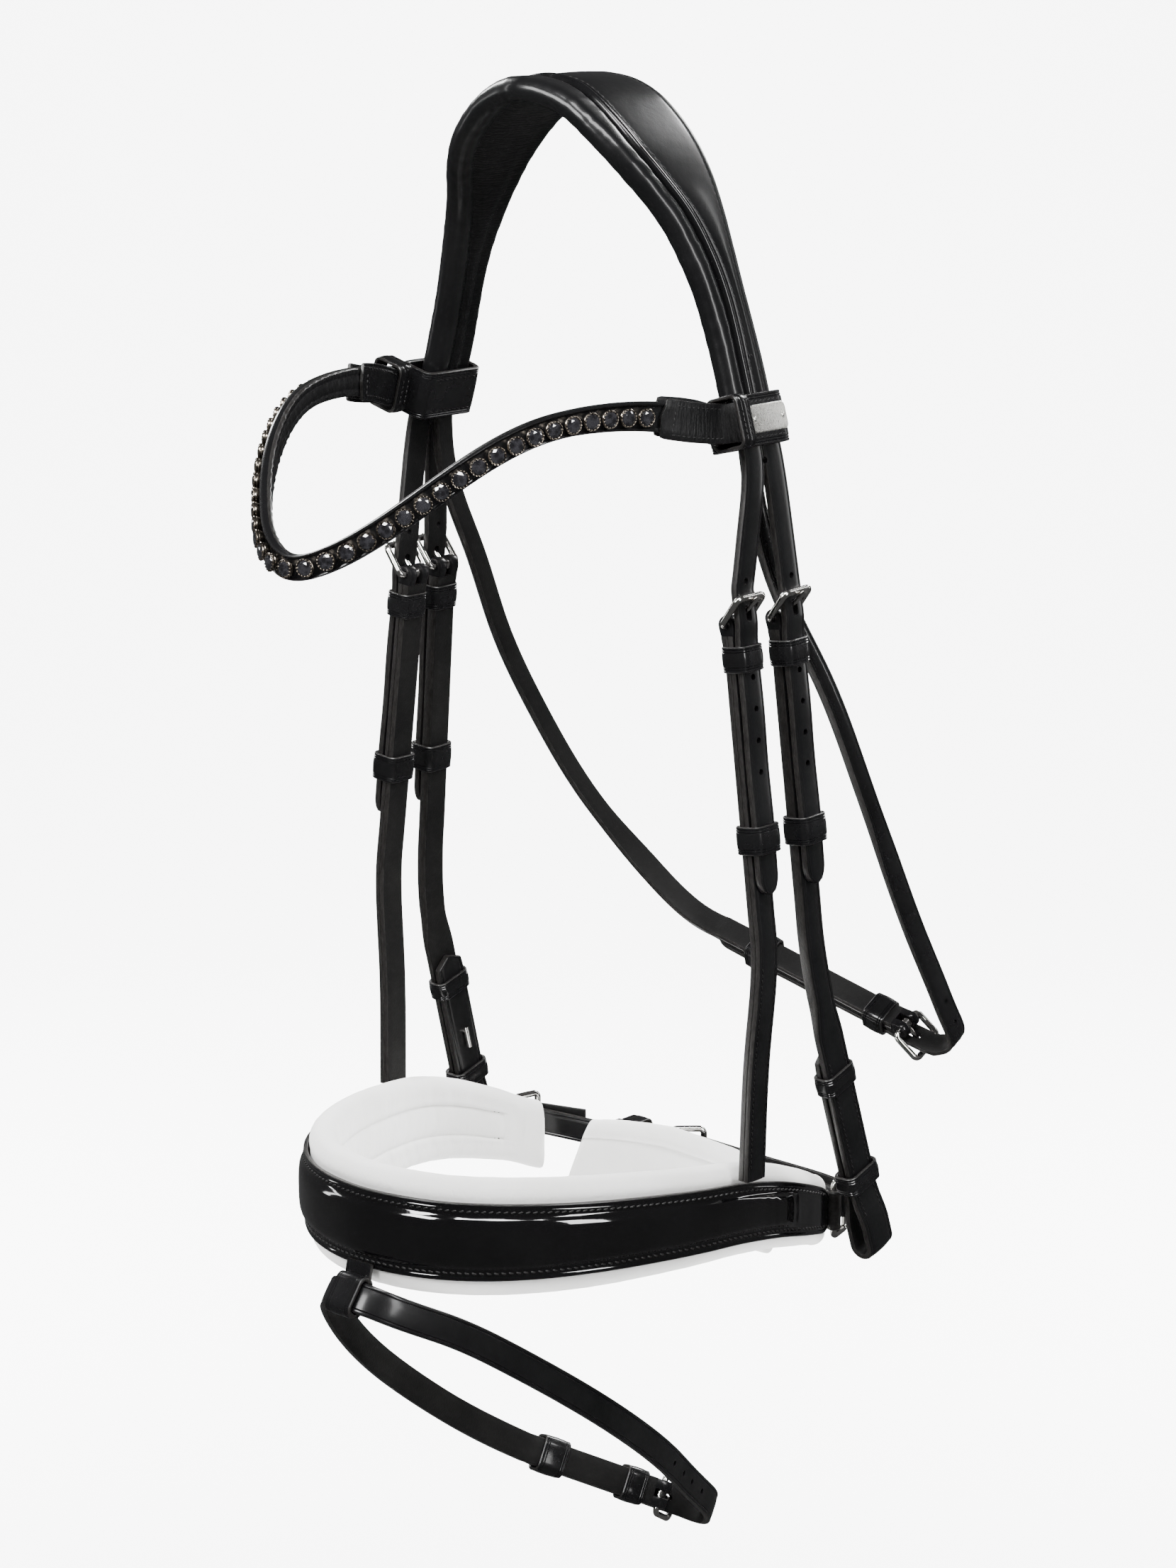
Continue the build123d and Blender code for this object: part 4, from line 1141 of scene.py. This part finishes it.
def crown_section(i):
    outline = crown_outline(crown_width[i], pipe_back[i], 1 - leg_share[i])
    u, v, numbers = outline.T
    soft = np.where(np.isin(numbers, (0, 3)), 1.0, 0.12) * (1 - leg_share[i])
    return u, v, ripple(crown_s[i] * 1.7, u, 0.32) * soft, 0.0, numbers


crown_shape = sweep(crown_rows, crown_s, crown_section, cap_mat=4)
for offset in (-crown_width / 2 + pipe_back + 4.2, crown_width / 2 - 3.6):
    line = crown_rows.shifted(offset[:, None], -0.26)
    stitch_line(
        crown_shape, line, crown_rows.n, pitch=3.4, length=2.5, radius=0.26, slant=0.12, lift=0.06, mat=5
    )
for share in (-1, 1):
    far = share * crown_table[:, 0]
    picks = (far > 84.2) & (far < 87.6)
    rise = ((far - 84.2) / 3.4)[:, None]
    for aside in (-1, 1):
        line = crown_rows.shifted(4.2 + aside * rise * 5.4, 0.12)[picks]
        stitch_line(crown_shape, line, crown_rows.n[picks], pitch=2.4, length=1.8, radius=0.22, mat=5)
crown_piece = make(
    "crown_leather", crown_shape,
    mats("black_leather", "strap_gloss", "black_leather", "lining", "cut_edge", "black_thread"),
    sharp=48.0, subdivide=1,
)
finish_piece(crown_piece, "headpiece", "black_leather", "crown_panel", "crown_padding")

# ---------------------------------------------------------------- noseband
noseband_stations = [
    (0.0, -122.0, 35.0, -462.5), (20.0, -119.5, 35.0, -462.5), (39.0, -112.5, 34.5, -462.6),
    (56.0, -100.5, 34.0, -462.8), (71.0, -84.0, 33.0, -463.2), (84.0, -62.0, 31.5, -464.0),
    (94.0, -38.0, 30.0, -465.0), (101.0, -13.0, 28.5, -466.5), (104.5, 12.0, 27.5, -468.5),
    (105.0, 36.0, 26.0, -473.0), (102.5, 60.0, 24.0, -480.0), (97.0, 82.0, 21.0, -487.5),
]
nose_table, nose_s = spread(noseband_stations, 2.0, (0, 1))
nose_o = nose_table[:, [0, 1, 3]]
nose_t = np.gradient(nose_o * vec(1, 1, 0), axis=0)
nose_rows = Rows(nose_o, [(0, 0, 1)] * len(nose_o), nose_t)
nose_height = nose_table[:, 2]
nose_end = np.minimum(nose_s, nose_s[-1] - nose_s)
core_share = smooth01((nose_end - 22) / 26.0)


def patent_outline(height, core):
    """Section of the patent outer: creased thin margins and a raised, crowned core."""
    h = height / 2
    low = -2.5
    rim = h - 5.6 * (0.55 + 0.45 * core)
    margin = [(h - 3.6, low - 0.1), (h - 2.4, low + 0.02), (h - 2.05, low - 0.22)]
    margin += [(h - 1.7, low), (h - 0.6, low)]
    edge = [(h - 0.12, low - 0.25), (h, -3.4), (h - 0.1, -4.2)]
    steep = [(rim + 0.9, low - 0.12), (rim, low + 0.25 * core)]
    for q, lift in ((0.93, 0.42), (0.84, 0.68), (0.7, 0.86), (0.5, 0.96), (0.25, 1.0)):
        steep.append((rim * q, low + 2.5 * core * lift))
    points = [(-u, v, 1) for u, v in edge[::-1]] + [(-u, v, 0) for u, v in margin[::-1]]
    points += [(-u, v, 0) for u, v in steep] + [(0.0, low + 2.5 * core, 0)]
    points += [(u, v, 0) for u, v in steep[::-1]] + [(u, v, 0) for u, v in margin[:-1]]
    points += [(*margin[-1], 1)] + [(u, v, 1) for u, v in edge]
    points += [(h - 0.7, -4.45, 2), (h * 0.3, -4.45, 2), (-h * 0.3, -4.45, 2), (-h + 0.7, -4.45, 2)]
    return np.array(points)


def patent_section(i):
    rounding = 1.0
    if nose_end[i] < 8.0:
        rounding = 0.62 + 0.38 * math.sqrt(max(1 - (1 - nose_end[i] / 8.0) ** 2, 0.0))
    u, v, numbers = patent_outline(nose_height[i] * rounding, core_share[i]).T
    crease = 0.0
    if nose_end[i] < 75:
        crease = 0.22 * math.sin(nose_s[i] * 1.1) * smooth01((75 - nose_end[i]) / 40) * core_share[i]
    swell = 0.14 * np.sin(nose_s[i] * 0.19 + 0.6) * np.sin(nose_s[i] * 0.071) * core_share[i]
    return u, v, (crease + swell) * np.where((numbers == 0) & (v > -2.2), 1.0, 0.0), 0.0, numbers


patent_shape = sweep(nose_rows, nose_s, patent_section)
for side in (-1, 1):
    line = nose_rows.shifted(side * (nose_height / 2 - 3.5)[:, None], -2.6)
    stitch_line(
        patent_shape, line, nose_rows.n, pitch=3.1, length=2.5, radius=0.46, slant=0.3 * side, lift=0.16,
        mat=3, skip=5,
    )
near_end = nose_rows.o[-1]
end_t = unit((97.0 - 102.5, 82.0 - 60.0, 0))
end_out = np.cross(end_t, (0, 0, 1))
ring_place = Place(near_end + end_t * 2.6 - end_out * 1.3, np.cross(end_t, end_out), end_t)


def ring_eye(place):
    shape = Shape()
    rings = []
    lay = []
    for x, rr in ((-9, 1.7), (-9, 2.7), (-8.7, 3.1), (-8.2, 3.3), (8.2, 3.3), (8.7, 3.1), (9, 2.7), (9, 1.7)):
        angles = round_angles(24)
        rings.append([place.at(x, rr * math.cos(a), rr * math.sin(a)) for a in angles])
        lay.append([(a * 3, x, rr) for a in angles])
    grid = np.array(rings)
    shape.loft(grid, [1] * 24, np.array(lay), caps=False)
    shape.loft(np.array([grid[-1], grid[0]]), [1] * 24, caps=False)
    return shape


patent_shape = merge(patent_shape, ring_eye(ring_place), ring_eye(mirror_place(ring_place)))
patent_piece = make(
    "noseband_patent", patent_shape, mats("patent", "cut_edge", "flesh_side", "black_thread"), sharp=50.0,
)
finish_piece(patent_piece, "headpiece", "patent_leather", "noseband_outer")

# ---------------------------------------------------------------- white pads
pad_extra = [18.0, 18.0, 18.0, 18.0, 18.0, 18.0, 17.0, 16.0, 15.0, 14.0, 13.0, 13.0]
pad_stations = [row[:2] + (row[2] + extra, row[3]) for row, extra in zip(noseband_stations, pad_extra)]
last = pad_stations[-1]
pad_last = near_end + end_t * 13.0 - end_out * 4.0 + vec(0, 0, -4)
pad_stations.append((pad_last[0], pad_last[1], last[2], pad_last[2]))
pad_table, pad_s = spread(pad_stations, 2.0, (0, 1))
pad_o = pad_table[:, [0, 1, 3]]
pad_t = np.gradient(pad_o * vec(1, 1, 0), axis=0)
pad_rows = Rows(pad_o, [(0, 0, 1)] * len(pad_o), pad_t)


def pad_outline(height, front, back, seam, roll):
    """Section of a white pad: a wide roll along each edge and a middle channel between two sewn seams."""
    h = height / 2
    r = min(roll, (front - back) / 2)
    middle = (front + back) / 2
    edge = h - r * 1.5
    inner = h * seam
    rise = [(0.25, 0.15), (0.5, 0.1), (0.75, 0.35), (0.92, 0.95)]
    channel = [(0.0, 2.1), (0.06, 0.95), (0.2, 0.3), (0.4, 0.0), (0.6, 0.0), (0.8, 0.3)]
    channel += [(0.94, 0.95), (1.0, 2.1)]
    points = [(-h + r * 1.9 + (2 * h - 3.8 * r) * k / 3, front - 0.5, 0) for k in range(4)]
    points.append((h - r * 1.62, front - 0.75, 0))
    points += [(h - r + r * u, middle + r * v * 1.04, 0) for u, v in map(turned, range(112, -113, -28))]
    points += [(edge + (inner - edge) * share, back + out, 1) for share, out in rise]
    points += [(inner - 2 * inner * share, back + out, 1) for share, out in channel]
    points += [(-edge - (inner - edge) * share, back + out, 1) for share, out in rise[::-1]]
    points += [(-h + r + r * u, middle + r * v * 1.04, 0) for u, v in map(turned, range(-68, -293, -28))]
    points.append((-h + r * 1.62, front - 0.75, 0))
    return np.array(points)


def pad_shape(
    rows, heights, s, front, back, cap=28.0, seam=0.36, roll=6.2, ends=3.2, wrinkle=0.5, slant=0.0
):
    """A pad along rows, square at its ends, with a plain cap sewn over the last stretch."""
    total = s[-1]
    middle = (front + back) / 2

    def outline_at(i):
        u, v, face = pad_outline(heights[i], front, back, seam, roll).T
        near = min(s[i], total - s[i])
        if cap:
            plain = smooth01((cap - near) / 2.4)
            v = np.where(face == 1, v + (back + 0.35 - v) * plain, v)
            v = np.where(face == 1, v + 1.2 * math.exp(-((near - cap - 0.6) / 1.3) ** 2), v)
        squeeze = math.sqrt(max(1 - (1 - min(near / ends, 1.0)) ** 2, 0.0)) * 0.35 + 0.65
        v = middle + (v - middle) * squeeze
        u = u * (0.94 + 0.06 * squeeze)
        inner = np.clip((front - 1.5 - v) / 4.0, 0, 1)
        wave = wrinkle * inner * (
            0.45 * np.sin(s[i] * 0.42 + 0.9 * np.sin(u * 0.23)) * np.sin(s[i] * 0.061 + 0.5)
            + 0.35 * np.sin(s[i] * 0.83 + 1.7 * np.sin(u * 0.31 + 1.0)) * np.sin(s[i] * 0.033 + 1.7)
            + 0.22 * np.sin(s[i] * 1.37 + u * 0.35)
        ) * squeeze
        lean = slant * (smooth01((22 - s[i]) / 22) - smooth01((22 - total + s[i]) / 22))
        return u, v, -wave, u * lean, [0] * len(u)

    return sweep(rows, s, outline_at, cap_mat=0)


pad = pad_shape(pad_rows, pad_table[:, 2], pad_s, -4.85, -17.7)
inside = np.flatnonzero((pad_s > 30) & (pad_s < pad_s[-1] - 30))
for side in (-1, 1):
    line = pad_rows.shifted((pad_table[:, 2] / 2 * 0.36 * side)[:, None], -15.75)
    for group, size in (
        (inside, {"pitch": 3.4, "length": 1.9, "radius": 0.3, "lift": 0.05, "mat": 1}),
        (inside[:4], {"pitch": 2.6, "length": 1.5, "radius": 0.42, "lift": 0.25, "mat": 2}),
        (inside[-4:], {"pitch": 2.6, "length": 1.5, "radius": 0.42, "lift": 0.25, "mat": 2}),
    ):
        stitch_line(pad, line[group], -pad_rows.n[group], slant=0.0, **size)
pad_piece = make(
    "noseband_pad", pad, mats("white_nappa", "white_thread", "black_thread"), sharp=180.0, subdivide=1
)
finish_piece(pad_piece, "headpiece", "white_leather", "noseband_padding")

# ---------------------------------------------------------------- chin strap, chape and pad
CHIN = 2.6
chin_level = -494.0
ring_bar = ring_place.at(0, 0, 13.0)
turn_radius = 1.5 + 0.9 + CHIN / 2


def turn_rows(bar, begin, sweep, count):
    angles = np.radians(begin + sweep * np.arange(count) / (count - 1))
    o = [bar + vec(math.cos(a), math.sin(a), 0) * turn_radius for a in angles]
    t = [vec(-math.sin(a), math.cos(a), 0) for a in angles]
    return Rows(o, [(0, 0, 1)] * count, t)


off_turn = turn_rows(ring_bar * MIRROR, 120, 180, 15)
inner_route = [off_turn.o[-1], (-70, 104.5, -491), (-38, 113.4, chin_level), (0, 115, chin_level)]
inner_route += [(38, 113.4, chin_level), (70, 104.5, -491)]
inner_run = rows_along(inner_route, (0, 0, 1), (0, 0, 1), 110)
near_turn = turn_rows(ring_bar, -120, 180, 15)
chin_out = OVER_BAR + CHIN / 2
outer_run = rows_along(
    [near_turn.o[-1], (70, 113.6, -491), (30, 123.0, chin_level), chin_drop.at(0, chin_out, 16)],
    (0, 0, 1), (0, 0, 1), 70,
)
tail = Rows([(-76.0, 113.4, -490.5)], [(0, 0, 1)], [(-0.86, -0.5, 0)])
chin_rows = join(
    tail, off_turn, inner_run.part(1, 110), near_turn, outer_run.part(1, 70),
    buckled_rows(chin_drop, 14.0, 38.0, chin_out),
)
chin_leather = strap_shape(chin_rows, 12.4, CHIN, 0.1, 1.6, 0.26, tip=8.0)
single("chin_strap_leather", chin_leather, BLACK, "headpiece", "black_leather", "chin_strap")
chape_heights = np.linspace(-4.6, -34, 16)
chape_rows = rows_straight(chin_drop, -0.1, chape_heights)
chape_thick = 7.4 - 2.4 * smooth01((-chape_heights - 20) / 14)
chape = merge(strap_shape(chape_rows, STRAP - 0.1, chape_thick, 0.2, 1.6, 0.25), eye_shape(chin_drop, 12.0))
single("chin_chape_leather", chape, BLACK, "headpiece", "black_leather", "chin_chape")
one_keeper("chin_runner", "chin_runner", keeper_shape(
    chin_drop, -24.0, 10.0, 12.5 + 2 * SLIDE_GAP, HANGER_BACK - 2.2, OVER_BAR + CHIN + SLIDE_GAP,
))
chin_pad_rows = rows_along(inner_route, (0, 0, 1), (0, 0, 1), 97).part(12, 77)
chin_pad_rows.o[:, 2] = -505.0
CHIN_SLANT = -0.35
flat_t = chin_pad_rows.t * vec(1, 1, 0)
chin_pad_rows = Rows(chin_pad_rows.o, [(0, 0, 1)] * len(flat_t), -flat_t)
s = chin_pad_rows.lengths()
chin_heights = 52.0 - 16.0 * abs(np.arange(len(s)) / (len(s) - 1) - 0.5)
chin_pad = pad_shape(chin_pad_rows, chin_heights, s, -1.7, -12.4, 0.0, 0.64, 5.0, 3.0, 0.35, slant=CHIN_SLANT)
for side in (-1, 1):
    line = chin_pad_rows.shifted((side * (chin_heights / 2 - 8.4))[:, None], -10.9)[3:-3]
    stitch_line(
        chin_pad, line, -chin_pad_rows.n[3:-3], pitch=3.4, length=1.9, radius=0.28, slant=0, lift=0.05, mat=1
    )
chin_pad_piece = make(
    "chin_pad_leather", chin_pad, mats("white_nappa", "white_thread"), sharp=180.0, subdivide=1
)
finish_piece(chin_pad_piece, "headpiece", "white_leather", "chin_pad")

# ---------------------------------------------------------------- browband
sleeve_middle = crown_end - leg * 12.5 + vec(0, 27.8, 0)
sleeve_place = Place(sleeve_middle, (0, -1, 0), -leg)
SLEEVE_PLAY = 1.6
SLEEVE_WALL = 2.5
SLEEVE_FRONT = 7.0
sleeve_edge = 12.5 + SLEEVE_PLAY + SLEEVE_WALL + SLEEVE_FRONT
band_half = [
    tuple(sleeve_place.at(sleeve_edge + 0.2, 1.2, 0)), (92.2, -7.0, -125.6), (88.0, -21.0, -122.8),
    (81.5, -38.0, -120.8), (75.0, -58.0, -120.6), (67.5, -80.0, -123.6), (58.0, -101.0, -132.5),
    (45.5, -121.0, -147.0), (30.5, -137.5, -162.0), (15.0, -149.0, -172.5), (0.0, -153.0, -176.5),
]
band_points = [(-x, y, z) for x, y, z in band_half] + band_half[-2::-1]
band_rows = rows_along(band_points, (0, 0, 1), (0, 0, 1), 260)
band_s = band_rows.lengths()


BAND_FACE = [(-2.5, 1.85, 0), (0, 1.85, 0), (2.5, 1.85, 0), (4.7, 1.9, 0), (5.2, 2.35, 0), (6.0, 2.5, 0)]
BAND_FACE += [(6.7, 2.0, 0), (7.0, 1.0, 0), (7.0, -0.6, 1), (6.9, -1.9, 1), (6.3, -2.4, 2), (4.2, -2.45, 2)]
BAND_FACE += [(3.4, -2.2, 2), (2.4, -2.5, 2), (0, -2.5, 2), (-2.4, -2.5, 2), (-3.4, -2.2, 2)]
BAND_FACE += [(-4.2, -2.45, 2), (-6.3, -2.4, 2)]
BAND_EDGE = [(-6.9, -1.9, 1), (-7.0, -0.6, 1), (-7.0, 1.0, 0), (-6.7, 2.0, 0), (-6.0, 2.5, 0)]
BAND_EDGE += [(-5.2, 2.35, 0), (-4.7, 1.9, 0)]
band_outline = np.array(BAND_EDGE + BAND_FACE)


def band_section(i):
    """The browband narrows from its ends to the stones; its lining has fine cross creases."""
    narrow = 1 - max(0.0, 1 - min(band_s[i], band_s[-1] - band_s[i]) / 77.0)
    u, v, numbers = band_outline.T
    u = u * (1 - 0.25 * narrow)
    creases = 0.3 * np.sin(band_s[i] * 1.3 + 0.8 * np.sin(u)) * np.sin(band_s[i] * 0.21)
    return u, v + np.where(numbers == 2, creases, 0), 0.0, 0.0, numbers


band = sweep(band_rows, band_s, band_section)
band_piece = make("browband_leather", band, mats("strap_gloss", "cut_edge", "lining"))
finish_piece(band_piece, "browband", "black_leather", "browband_strap")

STONES = 39
STONE_PITCH = 8.65
CUP = [(2.6, -0.4), (2.9, 0.0), (3.35, 0.9), (3.6, 1.5), (3.5, 1.8), (3.75, 2.2), (3.88, 2.6), (3.7, 2.85)]
CUP += [(3.35, 2.8), (3.2, 2.2)]
BEAD = 0.46
cups = Shape()
stones = Shape()
middle = band_s[-1] / 2
for index in range(STONES):
    where = middle + (index - STONES / 2 + 0.5) * STONE_PITCH
    seat = Place(*(columns_at(where, band_s, q) for q in (band_rows.o, band_rows.t, band_rows.n)))
    seat.o = seat.o + seat.z * 2.35
    rings = []
    for r, z in CUP:
        rings.append([seat.at(r * math.cos(a), r * math.sin(a), z) for a in round_angles(24)])
    cups.loft(np.array(rings), [0] * 24, caps=False)
    for k in range(16):
        a = (k + 0.5) * math.pi / 8
        centre = seat.at(3.42 * math.cos(a), 3.42 * math.sin(a), 2.95)
        ball = []
        for lat in (-70, -30, 10, 50, 90):
            c, up = turned(lat)
            r = BEAD * c + 1e-4
            ball.append([
                centre + seat.x * r * math.cos(b) + seat.y * r * math.sin(b) + seat.z * (BEAD * up)
                for b in round_angles(7)
            ])
        cups.loft(np.array(ball), [0] * 7, caps=False)
    turn = 0.4 * math.sin(index * 2.4)
    levels = []
    for r, z, shift in ((2.05, 3.75, 0.0), (2.75, 3.42, 0.5), (3.3, 2.85, 0.0)):
        angles = [(k + shift) * math.pi / 4 + turn for k in range(8)]
        levels.append([seat.at(r * math.cos(a), r * math.sin(a), z) for a in angles])
    verts = [p for level in levels for p in level] + [seat.at(0, 0, 0.7)]
    faces = [tuple(range(8))]
    for k in range(8):
        n = (k + 1) % 8
        faces.append((k, 8 + k, n))
        faces.append((8 + k, 16 + n, n))
        faces.append((k, (8 + (k - 1) % 8), 16 + k))
        faces.append((k, 16 + k, 8 + k))
        faces.append((8 + k, 16 + k, 16 + n))
        faces.append((16 + n, 16 + k, 24))
    unique = []
    seen = set()
    for f in faces:
        key = tuple(sorted(f))
        if key not in seen:
            seen.add(key)
            unique.append(f)
    stones.add(verts, unique)
cup_piece = make("browband_cups", cups, mats("cup_metal"))
finish_piece(cup_piece, "browband", "stone_cups", "browband_stone_cups")
stone_piece = make("browband_cut_stones", stones, mats("cut_stone"), sharp=2.0)
finish_piece(stone_piece, "browband", "cut_stone", "browband_stones")


def sleeve_shape():
    """Leather loop round the crown's leg, with stitched flaps over the browband's end and a narrow
    wrap where they meet."""
    x0 = -14.8
    x1 = 18.4
    inner = -CROWN_THICK - 0.4
    loop_place = Place(sleeve_place.at((x0 + x1) / 2, 0, 0), sleeve_place.x, sleeve_place.z)
    loop = keeper_shape(loop_place, 0.0, 21.6, x1 - x0 - 2.4, inner, SLEEVE_PLAY, wall=2.4, corner=3.4)
    for face, out in ((SLEEVE_PLAY + SLEEVE_WALL + 0.14, 1), (inner - SLEEVE_WALL - 0.14, -1)):
        for z in (-7.4, 7.4):
            line = [sleeve_place.at(x, face, z) for x in np.linspace(x0 + 3.0, x1 - 3.0, 20)]
            stitch_line(loop, line, [sleeve_place.y * out] * 20, pitch=2.9, length=2.1, radius=0.27, mat=3)
    parts = [loop]
    for out in (1, -1):
        lie = 2.5 + 0.75
        flap_points = [
            band_rows.o[-23] + band_rows.n[-23] * lie * out, band_rows.o[-7] + band_rows.n[-7] * lie * out,
            sleeve_place.at(23.5, 1.2 + lie * out, 0), sleeve_place.at(17.5, 1.2 + lie * out, 0),
        ]
        flap_rows = rows_along(flap_points[::-1], sleeve_place.z, (0, 0, 1), 30)
        flap = strap_shape(flap_rows, 16.4, 1.5, 0.1, 1.3, 0.25, tip=2.2)
        s = flap_rows.lengths()
        for side in (-1, 1):
            lift = 0.78 * out * flap_side(flap_rows)
            line = flap_rows.o[8:-3] + flap_rows.a[8:-3] * side * 6.0 + flap_rows.n[8:-3] * lift
            stitch_line(flap, line, flap_rows.n[8:-3] * np.sign(lift), **BOLD)
        end = flap_rows.part(len(flap_rows) - 5, len(flap_rows) - 4)
        across = [end.o[0] + end.a[0] * k + end.n[0] * lift for k in np.linspace(-5.8, 5.8, 12)]
        stitch_line(flap, across, [end.n[0] * np.sign(lift)] * 12, **BOLD)
        parts.append(flap)
    wrap_place = Place(sleeve_place.at(22.8, 1.2, 0), sleeve_place.z, sleeve_place.x)
    wrap = keeper_shape(wrap_place, 0.0, 8.2, 19.4, -10.0, 4.1, wall=1.5, corner=3.0)
    for x in (-1.5, 1.5):
        for face, out in ((5.8, wrap_place.y), (-11.7, -wrap_place.y)):
            line = [wrap_place.at(w, face, x) for w in np.linspace(-6.5, 6.5, 14)]
            stitch_line(wrap, line, [out] * 14, pitch=2.3, length=1.7, radius=0.24, mat=3)
    parts.append(wrap)
    return merge(*parts)


def flap_side(rows):
    """1 if the rows' outward direction is the loop's outward direction, else -1."""
    return 1.0 if rows.n[0] @ sleeve_place.y > 0 else -1.0


both_sides(
    sleeve_shape(), "browband_loop", mats("strap_gloss", "cut_edge", "lining", "black_thread"),
    "browband", "black_leather", "browband_sleeve",
)


def plate_shape():
    """Plain rounded metal plate with softened edges and two rivet heads."""
    place = Place(sleeve_place.at(-1, SLEEVE_PLAY + SLEEVE_WALL + 0.02, 0), sleeve_place.x, sleeve_place.z)
    shape = Shape()
    rings = []
    corner = 2.6
    for inset, y in ((0.0, 0.0), (0.0, 0.75), (0.12, 1.0), (0.4, 1.15), (0.9, 1.2)):
        ring = []
        for cx, cz, u, v in corners(-12, 12, -6, 6, corner):
            ring.append(place.at(cx + (corner - inset) * u, y, cz + (corner - inset) * v))
        rings.append(ring)
    shape.loft(np.array(rings), [0] * 28, cap_mat=0)
    for x in (-9.3, 9.3):
        rings = []
        for r, y in ((0.95, 1.1), (0.9, 1.4), (0.65, 1.62), (0.3, 1.7)):
            rings.append([place.at(x + r * math.cos(a), y, r * math.sin(a)) for a in round_angles(16)])
        shape.loft(np.array(rings), [0] * 16, cap_mat=0)
    return shape


single(
    "browband_plate", plate_shape(), mats("plate_metal"), "browband", "bright_metal", "browband_side_plate"
)

# ---------------------------------------------------------------- metal parts keep their CAD shape
for name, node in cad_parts.items():
    if node.hide_render:
        continue
    metal_part = any(word in name for word in ("buckle", "ring", "stud"))
    node.data.materials.clear()
    node.data.materials.append(MAT["nickel"] if metal_part else MAT["black_leather"])
    node.data.shade_smooth()
    node.data.set_sharp_from_angle(angle=math.radians(40))

# ---------------------------------------------------------------- stage, light and camera
HEADING = 40.71     # the camera's way round from the object's front, in degrees
FLOOR = -1.05
CURVE = 1.6         # radius of the sweep from floor to backdrop
ahead = turned(HEADING)
forward = vec(-ahead[1], ahead[0], 0)
right = vec(ahead[0], ahead[1], 0)


def stage_sheet():
    """Pale floor that curves up into a backdrop."""
    mesh = bpy.data.meshes.new("backdrop")
    curve_up = [(2.4 + CURVE * v, FLOOR + CURVE * (1 - u)) for u, v in map(turned, range(0, 91, 6))]
    profile = [(-5.0, FLOOR), (0.7, FLOOR)] + curve_up + [(4.0, 1.7)]
    verts = [tuple(forward * d + right * x + vec(0, 0, z)) for d, z in profile for x in (-6.0, 6.0)]
    faces = [(2 * i, 2 * i + 1, 2 * i + 3, 2 * i + 2) for i in range(len(profile) - 1)]
    mesh.from_pydata(verts, [], faces)
    mesh.shade_smooth()
    sheet = bpy.data.objects.new("backdrop", mesh)
    bpy.context.scene.collection.objects.link(sheet)
    matte("backdrop_paper", (0.885, 0.885, 0.885), (0.895, 0.895, 0.895), 3.0, 0.9, Specular_IOR_Level=0.1)
    mesh.materials.append(MAT["backdrop_paper"])
    sheet.visible_glossy = False


def softbox(name, where, target, size, power, tint=(1, 1, 1)):
    light = bpy.data.lights.new(name, "AREA")
    light.shape = "RECTANGLE"
    light.size = size[0]
    light.size_y = size[1]
    light.energy = power
    light.color = tint
    lamp = bpy.data.objects.new(name, light)
    bpy.context.scene.collection.objects.link(lamp)
    lamp.location = where
    lamp.visible_camera = False
    lamp.rotation_euler = (Vector(target) - Vector(where)).to_track_quat("-Z", "Y").to_euler()
    return lamp


stage_sheet()
centre = (0, 0, -0.34)
world = bpy.data.worlds.new("studio")
world.use_nodes = True
world_nodes = world.node_tree.nodes
world_nodes["Background"].inputs["Color"].default_value = (1, 1, 1, 1)
seen = world_nodes.new("ShaderNodeMapRange")
seen.inputs["To Min"].default_value = 0.08
seen.inputs["To Max"].default_value = 4.6
world_links = world.node_tree.links
camera_ray = world_nodes.new("ShaderNodeLightPath").outputs["Is Camera Ray"]
world_links.new(camera_ray, seen.inputs["Value"])
world_links.new(seen.outputs["Result"], world_nodes["Background"].inputs["Strength"])
bpy.context.scene.world = world
softbox("key", tuple(-forward * 1.3 - right * 1.25 + vec(0, 0, 0.75)), centre, (0.5, 0.7), 46)
softbox("fill", tuple(-forward * 1.35 + right * 1.25 + vec(0, 0, 0.4)), centre, (0.35, 1.1), 26)
softbox("top", tuple(-forward * 0.95 + right * 0.1 + vec(0, 0, 1.2)), centre, (1.1, 0.45), 56)
softbox("left_edge", tuple(forward * 0.5 - right * 1.7 + vec(0, 0, 0.2)), centre, (0.08, 1.3), 4)
softbox("right_edge", tuple(forward * 0.6 + right * 1.7 + vec(0, 0, 0.2)), centre, (0.08, 1.3), 4)
softbox("back_left", tuple(forward * 1.5 - right * 1.1 + vec(0, 0, 0.8)), centre, (0.4, 0.6), 26)
softbox("back_right", tuple(forward * 1.5 + right * 1.1 + vec(0, 0, 0.8)), centre, (0.4, 0.6), 26)
bounce = softbox("floor_bounce", (0.0, 0.0, -1.0), (0.0, 0.0, 0.0), (1.6, 1.6), 5)
bounce.visible_glossy = False
for side in (-1, 1):
    wash = softbox(
        "backdrop_left" if side < 0 else "backdrop_right",
        tuple(forward * 0.9 + right * side * 1.5 + vec(0, 0, 0.9)),
        tuple(forward * 3.9 + right * side * 0.2 + vec(0, 0, -0.5)), (0.6, 1.6), 480,
    )
    wash.visible_glossy = False

camera = bpy.data.cameras.new("camera")
camera.lens = 89.2
camera.sensor_width = 36.0
camera.clip_start = 0.05
camera.clip_end = 30.0
viewer = bpy.data.objects.new("camera", camera)
bpy.context.scene.collection.objects.link(viewer)
viewer.location = (1.0831, -1.2319, 0.0935)
viewer.rotation_euler = (math.radians(90 - 13.235), 0, math.radians(HEADING))
bpy.context.scene.camera = viewer
